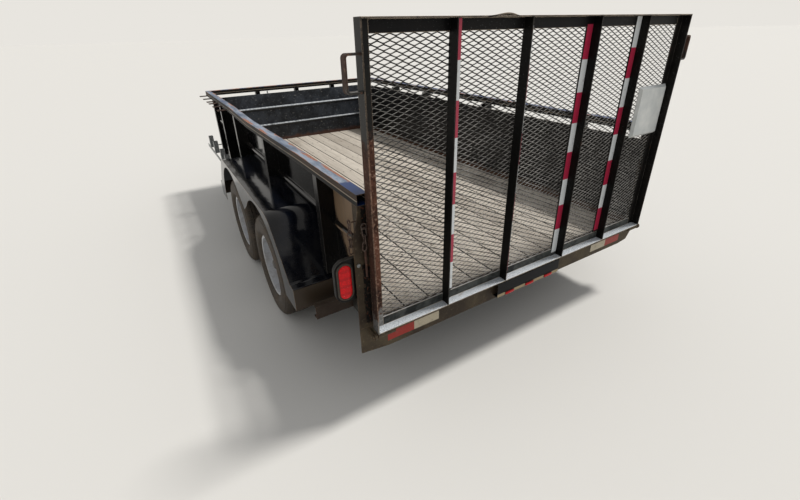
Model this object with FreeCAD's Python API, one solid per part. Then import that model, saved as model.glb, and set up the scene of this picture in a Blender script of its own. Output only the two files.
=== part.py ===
import FreeCAD, Part
import math
import os

# Tandem-axle utility trailer with a mesh ramp gate, in millimetres.
# +X points forward along the tongue, +Y to the left, +Z up. The origin is on the ground,
# under the middle of the whole trailer. While the pieces are made, x is counted forward
# from the gate's mesh plane (a "station"), and put() moves each finished piece to the origin.

V = FreeCAD.Vector

# Bed
BED_LENGTH = 3854.0          # gate plane to the inner face of the front sheet
BED_INSIDE = 1910.0          # between the side sheets
DECK_TOP = 500.0
SHEET_TOP = 1070.0
SHEET_WALL = 3.0
RAIL_TOP = 1151.0
RAIL_SIZE = 50.0
RAIL_WALL = 3.0
POST_WIDTH = 50.0
POST_DEPTH = 82.0
POST_WALL = 4.0
RAIL_REVEAL = 6.0            # how far the top rails stand out past the posts
REAR_POST_STATIONS = (500.0, 1500.0)
FRONT_POST_SHARES = (1.06, 0.565)    # behind the front sheet, as shares of the bay ahead of the fender
FRONT_POST_Y = (0.0, 480.0)
FRONT_POST_DEPTH = 50.0
LEDGE_HEIGHT = 830.0         # the rib along the outside of each side sheet
LEDGE_RADIUS = 20.0
RIDGE_HEIGHTS = (690.0, 895.0)   # the two half-round rub rails inside the front sheet
RIDGE_RADIUS = 20.0
DENT_STATION = 1800.0        # the knock in the left top rail
DENT_START = 700.0
DENT_STOP = 2560.0
DENT_DEPTH = 20.0

# Frame under the bed
FRAME_HEIGHT = 97.0
FRAME_FLANGE = 50.0
FRAME_WALL = 6.0
PLANK_THICK = 38.0
PLANK_WIDTH = 139.7
PLANK_COUNT = 13
PLANK_END_GAP = 2.0
CROSS_HEIGHT = 76.0
CROSS_FLANGE = 38.0
CROSS_WALL = 5.0
CROSS_COUNT = 8
SILL_FACE = 10.0             # rear face of the rear sill, ahead of the gate plane
SILL_DEPTH = 45.0
SILL_WALL = 6.0
SILL_DROP = 25.0              # the sill's lower edge below the side frame's
SILL_END_RISE = 20.0
SILL_END_LENGTH = 150.0
CORNER_CUT_WIDTH = 70.0       # the right lower corner is knocked off aslant
CORNER_CUT_HEIGHT = 105.0
CORNER_FLARE = 29.0          # how far the corner plates stand out past the top rails
CORNER_PLATE = (             # their outer edge: share of the flare, drop below the rail, round
    (1.0, 141.0, 60.0), (0.2, 56.0, 60.0), (0.0, 16.0, 0.0),
)
FIT = 0.3                    # clearance where one piece rests against another

# Ramp gate
GATE_SETIN = 33.0            # gate edge inside the rails' outer faces
GATE_BOTTOM = 484.0
GATE_HEIGHT = 1281.0
GATE_LEG = 50.0
GATE_WALL = 5.0
GATE_RIB_Y = (230.0, 620.0)
MESH_STRAND = 3.0
MESH_THICK = 1.5
MESH_LONG = 50.8             # long way of one diamond
MESH_SHORT = 23.4            # short way of one diamond
HINGE_BACK = 36.0            # pin axis behind the gate plane
BARREL_RADIUS = 14.0
BARREL_LENGTH = 90.0
PIN_RADIUS = 8.0
PIN_CLEARANCE = 0.4
LUG_WALL = 12.0
LUG_GAP = 6.0
LUG_RADIUS = 17.0
PIN_HEAD_RADIUS = 13.0
PIN_HEAD_LENGTH = 6.0
CATCH_DROP = 105.0           # strap loop outside each gate upright, below the gate's top
CATCH_TALL = 130.0
CATCH_REACH = 62.0
CATCH_WALL = 8.0
CATCH_WIDTH = 30.0
LINK_LONG = 46.0             # latch chain
LINK_WIDE = 24.0
LINK_WIRE = 6.0
LINK_FIT = 1.2
LINK_CORNER = 0.58           # cut corner of a loop, as a share of its half width
PIN_DROP = 130.0             # latch pin on the chain's end
PIN_THICK = 6.0
EYE_RADIUS = 15.0
SIDE_EYE_HEIGHT = 1035.0     # eye on the corner post's outer side
SIDE_EYE_OUT = 34.0
SIDE_LINK_COUNT = 4
REAR_EYE_HEIGHT = 1020.0     # eye on the post's rear face, whose chain ends in the latch pin
REAR_EYE_BACK = 18.0
REAR_LINK_COUNT = 2
SIGN_WIDTH = 264.0
SIGN_HEIGHT = 290.0
SIGN_CENTRE = (-865.0, 1257.0)
SIGN_WALL = 2.0
SIGN_DEPTH = 16.0
SIGN_FOLD = 14.0             # how far the folded edges slope in

# Wheels and axles
TYRE_RADIUS = 344.0
TYRE_WIDTH = 205.0
TYRE_GAP = 67.5              # side sheet to tyre
TYRE_SIDES = 48              # flats round the tyre
REAR_AXLE = 1076.0
AXLE_SPACING = 836.0
CHEEK_RISE = 62.0            # bead seat to the widest place of the tyre
SHOULDER_LOW = 44.0          # below the tread, and how far in from the tyre's side
SHOULDER_LOW_IN = 6.0
SHOULDER_HIGH = 6.0
SHOULDER_HIGH_IN = 26.0
TREAD_EDGE = 46.0            # flat tread's edge, in from the tyre's side
RIM_RADIUS = 190.5
RIM_WIDTH = 152.0
RIM_WALL = 4.0
RIM_LIP = 14.0
RIM_BEAD = 4.0               # thickness of the rolled edge
DISC_WALL = 5.0
DISC_EDGE = (150.0, 4.0)     # radius and offset where the disc leaves the barrel's cone
DISC_CREST = (100.0, 10.0)   # its crest round the wheel studs
DISC_SEAT = (90.0, -2.0)     # its flat seat on the hub
VENT_RADIUS = 11.0
VENT_CIRCLE = 126.0
VENT_COUNT = 8
DRUM_RADIUS = 134.0
DRUM_LENGTH = 62.0
DRUM_SET = 8.0               # drum's outer face behind the wheel's middle
DRUM_LIP = 8.0               # the flange round the drum's face
DRUM_NECK = 84.0             # radius where the drum meets the rim's seat
BACKING_RADIUS = 127.0
BACKING_WALL = 4.0
BACKING_GAP = 3.0            # drum to backing plate
FLANGE_RADIUS = 42.0
HUB_RADIUS = 41.0
HUB_END = 34.0               # offsets from the wheel's middle, outwards
CAP_RADIUS = 31.0
CAP_START = 38.0
CAP_END = 68.0
SPINDLE_REACH = 10.0
HUB_BORE_END = 24.0
AXLE_RADIUS = 30.0
AXLE_DROP = 102.0
AXLE_BEND = 22.0             # how far the beam moves out while it rises to the spindle
SPINDLE_RADIUS = 16.0
SPRING_WIDTH = 44.0
SPRING_SPAN = 320.0          # half the distance between a spring's eyes
SPRING_SAG = 38.0
SPRING_LEAVES = ((1.0, 0), (0.76, 1), (0.52, 2), (0.28, 3))   # share of the span, place in the pack
LEAF_THICK = 7.0
SPRING_EYE = 14.0
HANGER_WALL = 6.0
HANGER_WIDTH = 70.0
HANGER_DROP = 20.0           # below the springs' eyes
EQUALISER_HALF = 16.0
EQUALISER_LOW = 14.0
EQUALISER_HIGH = 10.0
BOSS_RADIUS = 11.0

# Fenders
FENDER_OVERHANG = 11.5       # past the tyre's outer wall
FENDER_TOP = 812.0
FENDER_END = 450.0           # station of the step plate behind the rear wheel
FENDER_BOTTOM = 390.0
FENDER_STEP_TOP = 522.0
FENDER_STEP = 58.0
FENDER_WALL = 3.0
STEP_ROUND = 10.0
KNEE_ROUND = 30.0
CREST_ROUND = 190.0
ARCH_RADIUS = 446.0
VALLEY_Z = 605.0             # tip of the skirt between the wheels
VALLEY_SLOPE = 0.575
VALLEY_REACH = 115.0         # from the tip to where the arches take over

# Tongue, coupler and jack
TONGUE_LENGTH = 1215.0       # front sheet to the ball's centre
TONGUE_ROOT = 576.5          # half the width over the channels at the front sill
TONGUE_NOSE = 44.0           # the same at the coupler
TONGUE_NOSE_BACK = 70.0      # end of the channels behind the ball's centre
TONGUE_HEIGHT = 97.0
TONGUE_FLANGE = 42.0
TONGUE_WALL = 6.0
BALL_RADIUS = 29.37          # a 2 5/16 inch ball
BALL_CLEARANCE = 0.8
COUPLER_NOSE = 62.0          # ball's centre to the tip, and to the shell's rear
COUPLER_HALF = 46.0
COUPLER_DEPTH = 52.0         # socket's rim below the tongue's top
SOCKET_DEPTH = 22.0          # rim to the ball's centre
COUPLER_RIM = 10.0
NOSE_PLATE_WALL = 6.0
NOSE_PLATE_BACK = 75.0       # plate's rear edge behind the jack
LATCH_HALF = 9.0
LATCH_OUTLINE = (            # behind the ball, above the plate, corner round
    (150.0, 0.3, 4.0), (20.0, 0.3, 4.0), (20.0, 26.0, 8.0),
    (60.0, 34.0, 14.0), (165.0, 60.0, 4.0), (172.0, 50.0, 4.0),
)
JACK_BACK = 330.0            # jack axis behind the ball's centre
JACK_TUBE_RADIUS = 28.5
JACK_TUBE_WALL = 3.0
JACK_TUBE_BOTTOM = 330.0
JACK_TUBE_TOP = 845.0
JACK_LEG_CLEARANCE = 0.8
JACK_LEG_TOP = 440.0
JACK_FOOT = 150.0
JACK_FOOT_THICK = 6.0
JACK_FLANGE = ((60.0, 30.0), (-60.0, 52.0))   # ahead of the jack, half width there
JACK_FLANGE_WALL = 8.0
JACK_CAP = 22.0
CRANK_ARM = 150.0
CRANK_WALL = 6.0
CRANK_HUB = 11.0
CRANK_RISE = 20.0            # arm above the jack's cap
GRIP_RADIUS = 9.0
GRIP_LENGTH = 105.0

# Lamps and small fittings
LAMP_OUT = 73.0              # lens middle outside the top rail's face
LAMP_Z = 766.0
LAMP_LONG = 165.0
LAMP_SHORT = 57.0
LAMP_PLATE_WIDTH = 118.5
LAMP_PLATE_HEIGHT = 208.0
LAMP_PLATE_ROUND = 50.0
LAMP_PLATE_WALL = 4.0
LAMP_SET = 22.0              # bracket's front face ahead of the sill's
LAMP_HOOD = 16.0             # depth of the bracket's turned edge
LAMP_DEPTH = 12.0
LAMP_FIT = 5.0               # lens to the hole in the bracket
GROMMET_RIM = 9.0
GROMMET_BACK = 10.0
BAR_LENGTH = 500.0
BAR_WALL = 4.0
BAR_HEIGHT = 87.0
BAR_OUT = 33.0               # light bar's face behind the sill's
BAR_LAMP_PITCH = 158.0
BAR_LAMP_WIDTH = 64.0
BAR_LAMP_HEIGHT = 16.0
BAR_LAMP_DEPTH = 6.0
BAR_LAMP_RISE = 2.0
HOOK_SHARES = (0.041, 0.239, 0.421, 0.527, 0.699, 0.889)     # of the bay, behind the front sheet
HOOK_REACH = 80.0
HOOK_WIDTH = 50.0
HOOK_MOUTH = 26.0
HOOK_ROOT = 34.0             # solid part before the mouth
HOOK_WALL = 6.0
CUP_SHARES = (0.117, 0.345, 0.649, 0.839)
CUP_SIZE = 44.0
CUP_HEIGHT = 125.0
CUP_WALL = 4.0
RACK_BAR_SHARE = 0.866       # the lower bar's rear end
RACK_BAR_OUT = 1140.0
RACK_BAR_Z = 535.0
RACK_BAR_HEIGHT = 30.0
RACK_BAR_WALL = 6.0
ARM_WIDTH = 30.0
STUB_STATION = 355.0
STUB_SHORT = 77.0            # stub's end inside the fender's outer edge
STUB_HEIGHT = 76.0
STUB_FLANGE = 40.0
STUB_WALL = 5.0

# Worked out from the sizes above
HALF_INSIDE = BED_INSIDE / 2
SHEET_OUTER = HALF_INSIDE + SHEET_WALL
PLANK_BOTTOM = DECK_TOP - PLANK_THICK
FRAME_BOTTOM = PLANK_BOTTOM - FRAME_HEIGHT
SILL_BOTTOM = FRAME_BOTTOM - SILL_DROP
CROSS_TOP = PLANK_BOTTOM
RAIL_OUTER = SHEET_OUTER + POST_DEPTH + RAIL_REVEAL
RAIL_INNER = RAIL_OUTER - RAIL_SIZE
CORNER_OUT = RAIL_OUTER + CORNER_FLARE
RAIL_BOTTOM = RAIL_TOP - RAIL_SIZE
FRONT_OUTER = BED_LENGTH + SHEET_WALL
RAIL_FRONT = FRONT_OUTER + FRONT_POST_DEPTH
GATE_TOP = GATE_BOTTOM + GATE_HEIGHT
CATCH_HIGH = GATE_TOP - CATCH_DROP
CATCH_LOW = CATCH_HIGH - CATCH_TALL
GATE_HALF = RAIL_OUTER - GATE_SETIN
HINGE_X = -HINGE_BACK
HINGE_Z = GATE_BOTTOM - BARREL_RADIUS
LUG_INNER = GATE_HALF + LUG_GAP
LUG_OUTER = LUG_INNER + LUG_WALL
FRONT_AXLE = REAR_AXLE + AXLE_SPACING
AXLE_STATIONS = (REAR_AXLE, FRONT_AXLE)
WHEELBASE_MIDDLE = (REAR_AXLE + FRONT_AXLE) / 2
FENDER_FRONT = 2 * WHEELBASE_MIDDLE - FENDER_END
FRONT_BAY = BED_LENGTH - FENDER_FRONT
POST_STATIONS = REAR_POST_STATIONS + tuple(BED_LENGTH - share * FRONT_BAY for share in FRONT_POST_SHARES)
SPRING_Y = SHEET_OUTER - FRAME_FLANGE / 2
BEAM_Z = TYRE_RADIUS - AXLE_DROP
WHEEL_Y = SHEET_OUTER + TYRE_GAP + TYRE_WIDTH / 2
SPINDLE_END = WHEEL_Y + SPINDLE_REACH
FENDER_INNER = SHEET_OUTER + FIT
FENDER_OUTER = WHEEL_Y + TYRE_WIDTH / 2 + FENDER_OVERHANG
LAMP_Y = RAIL_OUTER + LAMP_OUT
STUB_END = FENDER_OUTER - STUB_SHORT
HOOK_STATIONS = tuple(BED_LENGTH - share * FRONT_BAY for share in HOOK_SHARES)
CUP_STATIONS = tuple(BED_LENGTH - share * FRONT_BAY for share in CUP_SHARES)
RACK_REAR = BED_LENGTH - RACK_BAR_SHARE * FRONT_BAY
BALL_X = BED_LENGTH + TONGUE_LENGTH
COUPLER_TIP = BALL_X + COUPLER_NOSE
TONGUE_TOP = PLANK_BOTTOM
TONGUE_NOSE_X = BALL_X - TONGUE_NOSE_BACK
TONGUE_SLOPE = (TONGUE_ROOT - TONGUE_NOSE) / (TONGUE_NOSE_X - BED_LENGTH - SHEET_WALL)
TAIL = -GATE_LEG - FIT
LUG_TAIL = HINGE_X - LUG_RADIUS
MIDDLE = (COUPLER_TIP + min(TAIL, LUG_TAIL)) / 2
JACK_X = BALL_X - JACK_BACK

os.makedirs("parts", exist_ok=True)


def box(x0, x1, y0, y1, z0, z1):
    """A plain block between two corners."""
    return Part.makeBox(x1 - x0, y1 - y0, z1 - z0, V(x0, y0, z0))


def rounded(points, radii):
    """A closed outline through points, each corner rounded by its radius (0 keeps it sharp)."""
    count = len(points)
    ends = []
    for i, corner in enumerate(points):
        back = points[i - 1] - corner
        ahead = points[(i + 1) % count] - corner
        back.normalize()
        ahead.normalize()
        half = back.getAngle(ahead) / 2
        reach = radii[i] / math.tan(half)
        middle = back + ahead
        if radii[i]:
            middle.normalize()
            top = corner + middle * (radii[i] / math.sin(half) - radii[i])
        else:
            top = corner
        ends.append((corner + back * reach, top, corner + ahead * reach))
    edges = []
    for i in range(count):
        start, top, end = ends[i]
        if radii[i]:
            edges.append(Part.Arc(start, top, end).toShape())
        following = ends[(i + 1) % count][0]
        if (following - end).Length > 1e-6:
            edges.append(Part.LineSegment(end, following).toShape())
    return Part.Wire(edges)


def prism(outline, axis, low, high, radii=None):
    """An outline of (u, v) pairs, swept from low to high along x, y or z."""
    place = {
        "x": lambda u, v: V(low, u, v),
        "y": lambda u, v: V(u, low, v),
        "z": lambda u, v: V(u, v, low),
    }[axis]
    step = {"x": V(1, 0, 0), "y": V(0, 1, 0), "z": V(0, 0, 1)}[axis] * (high - low)
    points = [place(u, v) for u, v in outline]
    wire = rounded(points, radii or [0] * len(points))
    return Part.Face(wire).extrude(step)


def ring(x, y, z, axis, outer, inner, low, high):
    """A tube along an axis through (x, y, z), from low to high; inner 0 makes a rod."""
    start = V(x, y, z) + axis * low
    tube = Part.makeCylinder(outer, high - low, start, axis)
    if inner:
        tube = tube.cut(Part.makeCylinder(inner, high - low, start, axis))
    return tube


def mirrored(shape):
    """The same piece on the right-hand side."""
    return shape.mirror(V(0, 0, 0), V(0, 1, 0))


def both(shape):
    """A piece on the left and its twin on the right."""
    return [shape, mirrored(shape)]


def put(name, shapes):
    """Move finished solids to the trailer's own origin and write them as one sub-part."""
    moved = []
    for shape in shapes:
        copy = shape.copy()
        copy.translate(V(-MIDDLE, 0, 0))
        moved.append(copy)
    whole = moved[0] if len(moved) == 1 else Part.makeCompound(moved)
    whole.exportStep("parts/" + name + ".step")


Y = V(0, 1, 0)
Z = V(0, 0, 1)
X = V(1, 0, 0)


# The frame under the deck
def channel_x(x0, x1, web, inward, z0, z1, flange, wall):
    """A channel lying along x, its web at y = web and its flanges towards inward (+1 or -1)."""
    lip = web + inward * flange
    face = web + inward * wall
    outline = [(web, z0), (lip, z0), (lip, z0 + wall), (face, z0 + wall),
               (face, z1 - wall), (lip, z1 - wall), (lip, z1), (web, z1)]
    return prism(outline, "x", x0, x1)


def channel_y(web, ahead, y0, y1, z0, z1, flange, wall):
    """A channel lying along y, its web at x = web and its flanges towards ahead (+1 or -1)."""
    lip = web + ahead * flange
    face = web + ahead * wall
    outline = [(web, z0), (lip, z0), (lip, z0 + wall), (face, z0 + wall),
               (face, z1 - wall), (lip, z1 - wall), (lip, z1), (web, z1)]
    return prism(outline, "y", y0, y1)


SILL_FRONT = SILL_FACE + SILL_DEPTH
FRONT_SILL_REAR = FRONT_OUTER - FRAME_FLANGE
RAIL_INSIDE = SHEET_OUTER - FRAME_FLANGE
side_rail = channel_x(SILL_FRONT, FRONT_SILL_REAR, SHEET_OUTER, -1, FRAME_BOTTOM, PLANK_BOTTOM,
                      FRAME_FLANGE, FRAME_WALL)
put("frame_rails", both(side_rail))

rear_sill = channel_y(SILL_FACE, 1, -CORNER_OUT, CORNER_OUT, SILL_BOTTOM, DECK_TOP, SILL_DEPTH,
                      SILL_WALL)
web_face = SILL_FACE + SILL_WALL
for side in (-1, 1):
    for start, top in ((RAIL_OUTER, DECK_TOP + 1), (RAIL_INNER, DECK_TOP - SILL_WALL)):
        y0, y1 = sorted((side * start, side * (CORNER_OUT + 1)))
        rear_sill = rear_sill.cut(box(web_face, SILL_FRONT + 1, y0, y1, SILL_BOTTOM - 1, top))
# Its lower edge rises towards each end, and the right corner is knocked off
for side, width, rise in ((1, SILL_END_LENGTH, SILL_END_RISE), (-1, SILL_END_LENGTH, SILL_END_RISE),
                          (-1, CORNER_CUT_WIDTH, CORNER_CUT_HEIGHT)):
    wedge = [(side * (CORNER_OUT - width), SILL_BOTTOM), (side * CORNER_OUT, SILL_BOTTOM + rise),
             (side * (CORNER_OUT + 1), SILL_BOTTOM + rise), (side * (CORNER_OUT + 1), SILL_BOTTOM - 1),
             (side * (CORNER_OUT - width), SILL_BOTTOM - 1)]
    rear_sill = rear_sill.cut(prism(wedge, "x", SILL_FACE - 1, SILL_FRONT + 1))
put("rear_sill", [rear_sill])

front_sill = channel_y(FRONT_OUTER, -1, -SHEET_OUTER, SHEET_OUTER, FRAME_BOTTOM, PLANK_BOTTOM,
                       FRAME_FLANGE, FRAME_WALL)
put("front_sill", [front_sill])

cross_pitch = (FRONT_SILL_REAR - SILL_FRONT) / (CROSS_COUNT + 1)
CROSS_HALF = SHEET_OUTER - FRAME_WALL
crossmembers = []
for number in range(CROSS_COUNT):
    web = SILL_FRONT + cross_pitch * (number + 1)
    low = CROSS_TOP - CROSS_HEIGHT
    member = channel_y(web, 1, -CROSS_HALF, CROSS_HALF, low, CROSS_TOP, CROSS_FLANGE, CROSS_WALL)
    for side in (-1, 1):
        inner, outer = sorted((side * RAIL_INSIDE, side * CROSS_HALF))
        notch = box(web - 1, web + CROSS_FLANGE + 1, inner, outer, CROSS_TOP - FRAME_WALL, CROSS_TOP)
        member = member.cut(notch)
    crossmembers.append(member)
put("crossmembers", crossmembers)

# Deck planks, side by side
plank_gap = (BED_INSIDE - 2 * PLANK_END_GAP - PLANK_COUNT * PLANK_WIDTH) / (PLANK_COUNT - 1)
planks = []
for number in range(PLANK_COUNT):
    right = -HALF_INSIDE + PLANK_END_GAP + number * (PLANK_WIDTH + plank_gap)
    planks.append(box(SILL_FRONT + FIT, BED_LENGTH - PLANK_END_GAP, right, right + PLANK_WIDTH,
                      PLANK_BOTTOM, DECK_TOP))
put("deck_planks", planks)


# Side sheets, each with a rib pressed outwards along its middle
def side_sheet():
    r = LEDGE_RADIUS
    w = SHEET_WALL
    y = HALF_INSIDE
    z = LEDGE_HEIGHT
    rear = SILL_FACE + RAIL_WALL + FIT
    plate = box(rear, BED_LENGTH, y, y + w, DECK_TOP + FIT, SHEET_TOP)
    foot = box(SILL_FRONT, BED_LENGTH, y, y + w, PLANK_BOTTOM, DECK_TOP + r)
    outer = Part.makeCylinder(r, BED_LENGTH - rear, V(rear, y, z), X)
    inner = Part.makeCylinder(r - w, BED_LENGTH - rear, V(rear, y, z), X)
    half = box(rear, BED_LENGTH, y, y + r, z - r, z + r)
    return plate.fuse([foot, outer.common(half)]).cut(inner).removeSplitter()


left_sheet = side_sheet()
put("side_sheet_left", [left_sheet])
put("side_sheet_right", [mirrored(left_sheet)])


# Stake posts: channels open towards the sheet, notched over its rib
def fender_top_at(station):
    """Height of the fender's top surface over a station."""
    reach = abs(station - WHEELBASE_MIDDLE)
    flat = WHEELBASE_MIDDLE - FENDER_END - FENDER_STEP
    slope_start = flat - (FENDER_TOP - FENDER_STEP_TOP)
    if reach <= slope_start:
        return FENDER_TOP
    return FENDER_TOP - (reach - slope_start)


def stake_post(station, bottom):
    x0 = station - POST_WIDTH / 2
    x1 = station + POST_WIDTH / 2
    y0 = SHEET_OUTER
    y1 = SHEET_OUTER + POST_DEPTH
    post = box(x0, x1, y0, y1, bottom, RAIL_BOTTOM)
    hollow = box(x0 + POST_WALL, x1 - POST_WALL, y0, y1 - POST_WALL, bottom, RAIL_BOTTOM)
    notch = Part.makeCylinder(LEDGE_RADIUS + FIT, POST_WIDTH + 2, V(x0 - 1, HALF_INSIDE, LEDGE_HEIGHT), X)
    return post.cut(hollow).cut(notch)


posts = []
for station in POST_STATIONS:
    over_fender = FENDER_END < station < FENDER_FRONT
    high_end = max(fender_top_at(station - POST_WIDTH / 2), fender_top_at(station + POST_WIDTH / 2))
    bottom = high_end + FIT if over_fender else FRAME_BOTTOM
    posts += both(stake_post(station, bottom))
put("side_posts", posts)

corner_post = box(SILL_FACE, SILL_FACE + RAIL_SIZE, RAIL_INNER, RAIL_OUTER, DECK_TOP, RAIL_BOTTOM)
corner_post = corner_post.cut(box(SILL_FACE + RAIL_WALL, SILL_FACE + RAIL_SIZE - RAIL_WALL,
                                  RAIL_INNER + RAIL_WALL, RAIL_OUTER - RAIL_WALL,
                                  DECK_TOP + RAIL_WALL, RAIL_BOTTOM - RAIL_WALL))
corner_web = box(SILL_FACE, SILL_FACE + RAIL_WALL, HALF_INSIDE, RAIL_INNER, DECK_TOP, SHEET_TOP)
flare = [(RAIL_OUTER + CORNER_FLARE * share, RAIL_BOTTOM - drop) for share, drop, turn in CORNER_PLATE]
corner_plate = prism([(RAIL_OUTER - RAIL_WALL, DECK_TOP), (CORNER_OUT, DECK_TOP)] + flare
                     + [(RAIL_OUTER - RAIL_WALL, flare[-1][1])], "x", SILL_FACE, SILL_FACE + SILL_WALL,
                     [0, 0] + [turn for share, drop, turn in CORNER_PLATE] + [0])
put("corner_posts", both(corner_post.fuse([corner_web, corner_plate]).removeSplitter()))


# Top rails: square tube, the left one knocked outwards
def rail_tube(stations, offsets):
    """A square tube through stations, its outer face moved out by each offset."""
    outer = []
    inner = []
    for x, out in zip(stations, offsets):
        outer.append((x, RAIL_OUTER + out))
        inner.append((x, RAIL_INNER + out))
    solid = prism(outer + inner[::-1], "z", RAIL_BOTTOM, RAIL_TOP)
    inside = [(x, y - RAIL_WALL) for x, y in outer] + [(x, y + RAIL_WALL) for x, y in inner[::-1]]
    return solid.cut(prism(inside, "z", RAIL_BOTTOM + RAIL_WALL, RAIL_TOP - RAIL_WALL))


straight = rail_tube((SILL_FACE, RAIL_FRONT), (0, 0))
dented = rail_tube((SILL_FACE, DENT_START, DENT_STATION, DENT_STOP, RAIL_FRONT), (0, 0, DENT_DEPTH, 0, 0))
put("top_rail_left", [dented])
put("top_rail_right", [mirrored(straight)])

# Front sheet, its two rub rails, posts and top rail
front_plate = box(BED_LENGTH, FRONT_OUTER, -SHEET_OUTER, SHEET_OUTER, PLANK_BOTTOM, SHEET_TOP)
put("front_sheet", [front_plate])
rub_rails = []
for height in RIDGE_HEIGHTS:
    pipe = Part.makeCylinder(RIDGE_RADIUS, BED_INSIDE - 2 * LEDGE_RADIUS,
                             V(BED_LENGTH, -HALF_INSIDE + LEDGE_RADIUS, height), Y)
    rub_rails.append(pipe.common(box(BED_LENGTH - RIDGE_RADIUS, BED_LENGTH, -HALF_INSIDE, HALF_INSIDE,
                                     height - RIDGE_RADIUS, height + RIDGE_RADIUS)))
put("front_rub_rails", rub_rails)

front_posts = []
for y in FRONT_POST_Y:
    post = box(FRONT_OUTER, RAIL_FRONT, y - POST_WIDTH / 2, y + POST_WIDTH / 2, FRAME_BOTTOM, RAIL_BOTTOM)
    post = post.cut(box(FRONT_OUTER, RAIL_FRONT - POST_WALL, y - POST_WIDTH / 2 + POST_WALL,
                        y + POST_WIDTH / 2 - POST_WALL, FRAME_BOTTOM, RAIL_BOTTOM))
    front_posts += [post] if y == 0 else both(post)
corner = box(FRONT_OUTER, RAIL_FRONT, RAIL_INNER - FRONT_POST_DEPTH, RAIL_INNER, FRAME_BOTTOM, RAIL_BOTTOM)
corner = corner.cut(box(FRONT_OUTER, RAIL_FRONT - POST_WALL, RAIL_INNER - FRONT_POST_DEPTH,
                        RAIL_INNER - POST_WALL, FRAME_BOTTOM, RAIL_BOTTOM))
front_posts += both(corner)
put("front_posts", front_posts)

front_rail = box(FRONT_OUTER, RAIL_FRONT, -RAIL_INNER, RAIL_INNER, RAIL_BOTTOM, RAIL_TOP)
front_rail = front_rail.cut(box(FRONT_OUTER + RAIL_WALL, RAIL_FRONT - RAIL_WALL, -RAIL_INNER + RAIL_WALL,
                                RAIL_INNER - RAIL_WALL, RAIL_BOTTOM + RAIL_WALL, RAIL_TOP - RAIL_WALL))
put("front_rail", [front_rail])


# Fenders: one teardrop over both wheels, with a skirt that dips between them
def fender_outline(inset):
    """Half outline of the top from the rear step to the middle, then its twin ahead."""
    top = FENDER_TOP - inset
    step = FENDER_STEP_TOP - inset
    end = FENDER_END + inset
    knee = FENDER_END + FENDER_STEP + inset * 0.4
    crest = knee + (top - step)
    rear = [(end, FENDER_BOTTOM), (end, step), (knee, step), (crest, top)]
    front = [(2 * WHEELBASE_MIDDLE - x, z) for x, z in rear[::-1]]
    return rear + front


def fender_rounds(inset):
    """Corner rounds of that outline; the outward corners shrink with the inset, the knees grow."""
    half = [0, STEP_ROUND, KNEE_ROUND + inset, CREST_ROUND - inset]
    return half + half[::-1]


def fender():
    outer = prism(fender_outline(0), "y", FENDER_INNER, FENDER_OUTER, fender_rounds(0))
    hollow = prism(fender_outline(FENDER_WALL), "y", FENDER_INNER, FENDER_OUTER - FENDER_WALL,
                   fender_rounds(FENDER_WALL))
    body = outer.cut(hollow)
    for axle in AXLE_STATIONS:
        arch = Part.makeCylinder(ARCH_RADIUS, 3 * FENDER_WALL,
                                 V(axle, FENDER_OUTER - 2 * FENDER_WALL, TYRE_RADIUS), Y)
        body = body.cut(arch)
    rise = VALLEY_REACH * VALLEY_SLOPE
    valley = prism([(WHEELBASE_MIDDLE, VALLEY_Z), (WHEELBASE_MIDDLE - VALLEY_REACH, VALLEY_Z + rise),
                    (WHEELBASE_MIDDLE - VALLEY_REACH, FENDER_BOTTOM - 1),
                    (WHEELBASE_MIDDLE + VALLEY_REACH, FENDER_BOTTOM - 1),
                    (WHEELBASE_MIDDLE + VALLEY_REACH, VALLEY_Z + rise)],
                   "y", FENDER_OUTER - 2 * FENDER_WALL, FENDER_OUTER + 1)
    ledge = Part.makeCylinder(LEDGE_RADIUS + FIT, BED_LENGTH, V(0, HALF_INSIDE, LEDGE_HEIGHT), X)
    return body.cut(valley).cut(ledge).removeSplitter()


left_fender = fender()
put("fender_left", [left_fender])
put("fender_right", [mirrored(left_fender)])


# Axles: drop beams with spindles, bent up outside the springs
BACKING_OUT = WHEEL_Y - DRUM_LENGTH - DRUM_SET - BACKING_GAP
BACKING_FACE = BACKING_OUT - BACKING_WALL


def axle(station):
    inner_bend = SPRING_Y + SPRING_WIDTH / 2 + AXLE_RADIUS + 2
    beam = Part.makeCylinder(AXLE_RADIUS, 2 * inner_bend, V(station, -inner_bend, BEAM_Z), Y)
    for side in (-1, 1):
        start = V(station, side * inner_bend, BEAM_Z)
        end = V(station, side * (inner_bend + AXLE_BEND), TYRE_RADIUS)
        arm = Part.makeCylinder(AXLE_RADIUS, (end - start).Length, start, end - start)
        elbow = Part.makeSphere(AXLE_RADIUS, start)
        knuckle = Part.makeSphere(AXLE_RADIUS, end)
        beam = beam.fuse(arm).fuse(elbow).fuse(knuckle)
        spindle = Part.makeCylinder(SPINDLE_RADIUS, SPINDLE_END - end.y * side, end, V(0, side, 0))
        beam = beam.fuse(spindle)
        flange = Part.makeCylinder(FLANGE_RADIUS, BACKING_FACE - end.y * side, end, V(0, side, 0))
        beam = beam.fuse(flange)
    return beam.removeSplitter()


put("axles", [axle(station) for station in AXLE_STATIONS])
plates = []
for station in AXLE_STATIONS:
    disc = ring(station, 0, TYRE_RADIUS, Y, BACKING_RADIUS, SPINDLE_RADIUS + FIT, BACKING_FACE, BACKING_OUT)
    rim_turn = ring(station, 0, TYRE_RADIUS, Y, BACKING_RADIUS, BACKING_RADIUS - BACKING_WALL,
                    BACKING_FACE - 2 * BACKING_WALL, BACKING_FACE)
    plates += both(disc.fuse(rim_turn).removeSplitter())
put("backing_plates", plates)


# Leaf springs: each pack is one piece, its leaves stepping shorter downwards to the beam
EYE_Z = BEAM_Z + AXLE_RADIUS + FIT + (len(SPRING_LEAVES) - 1) * LEAF_THICK + SPRING_SAG


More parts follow.
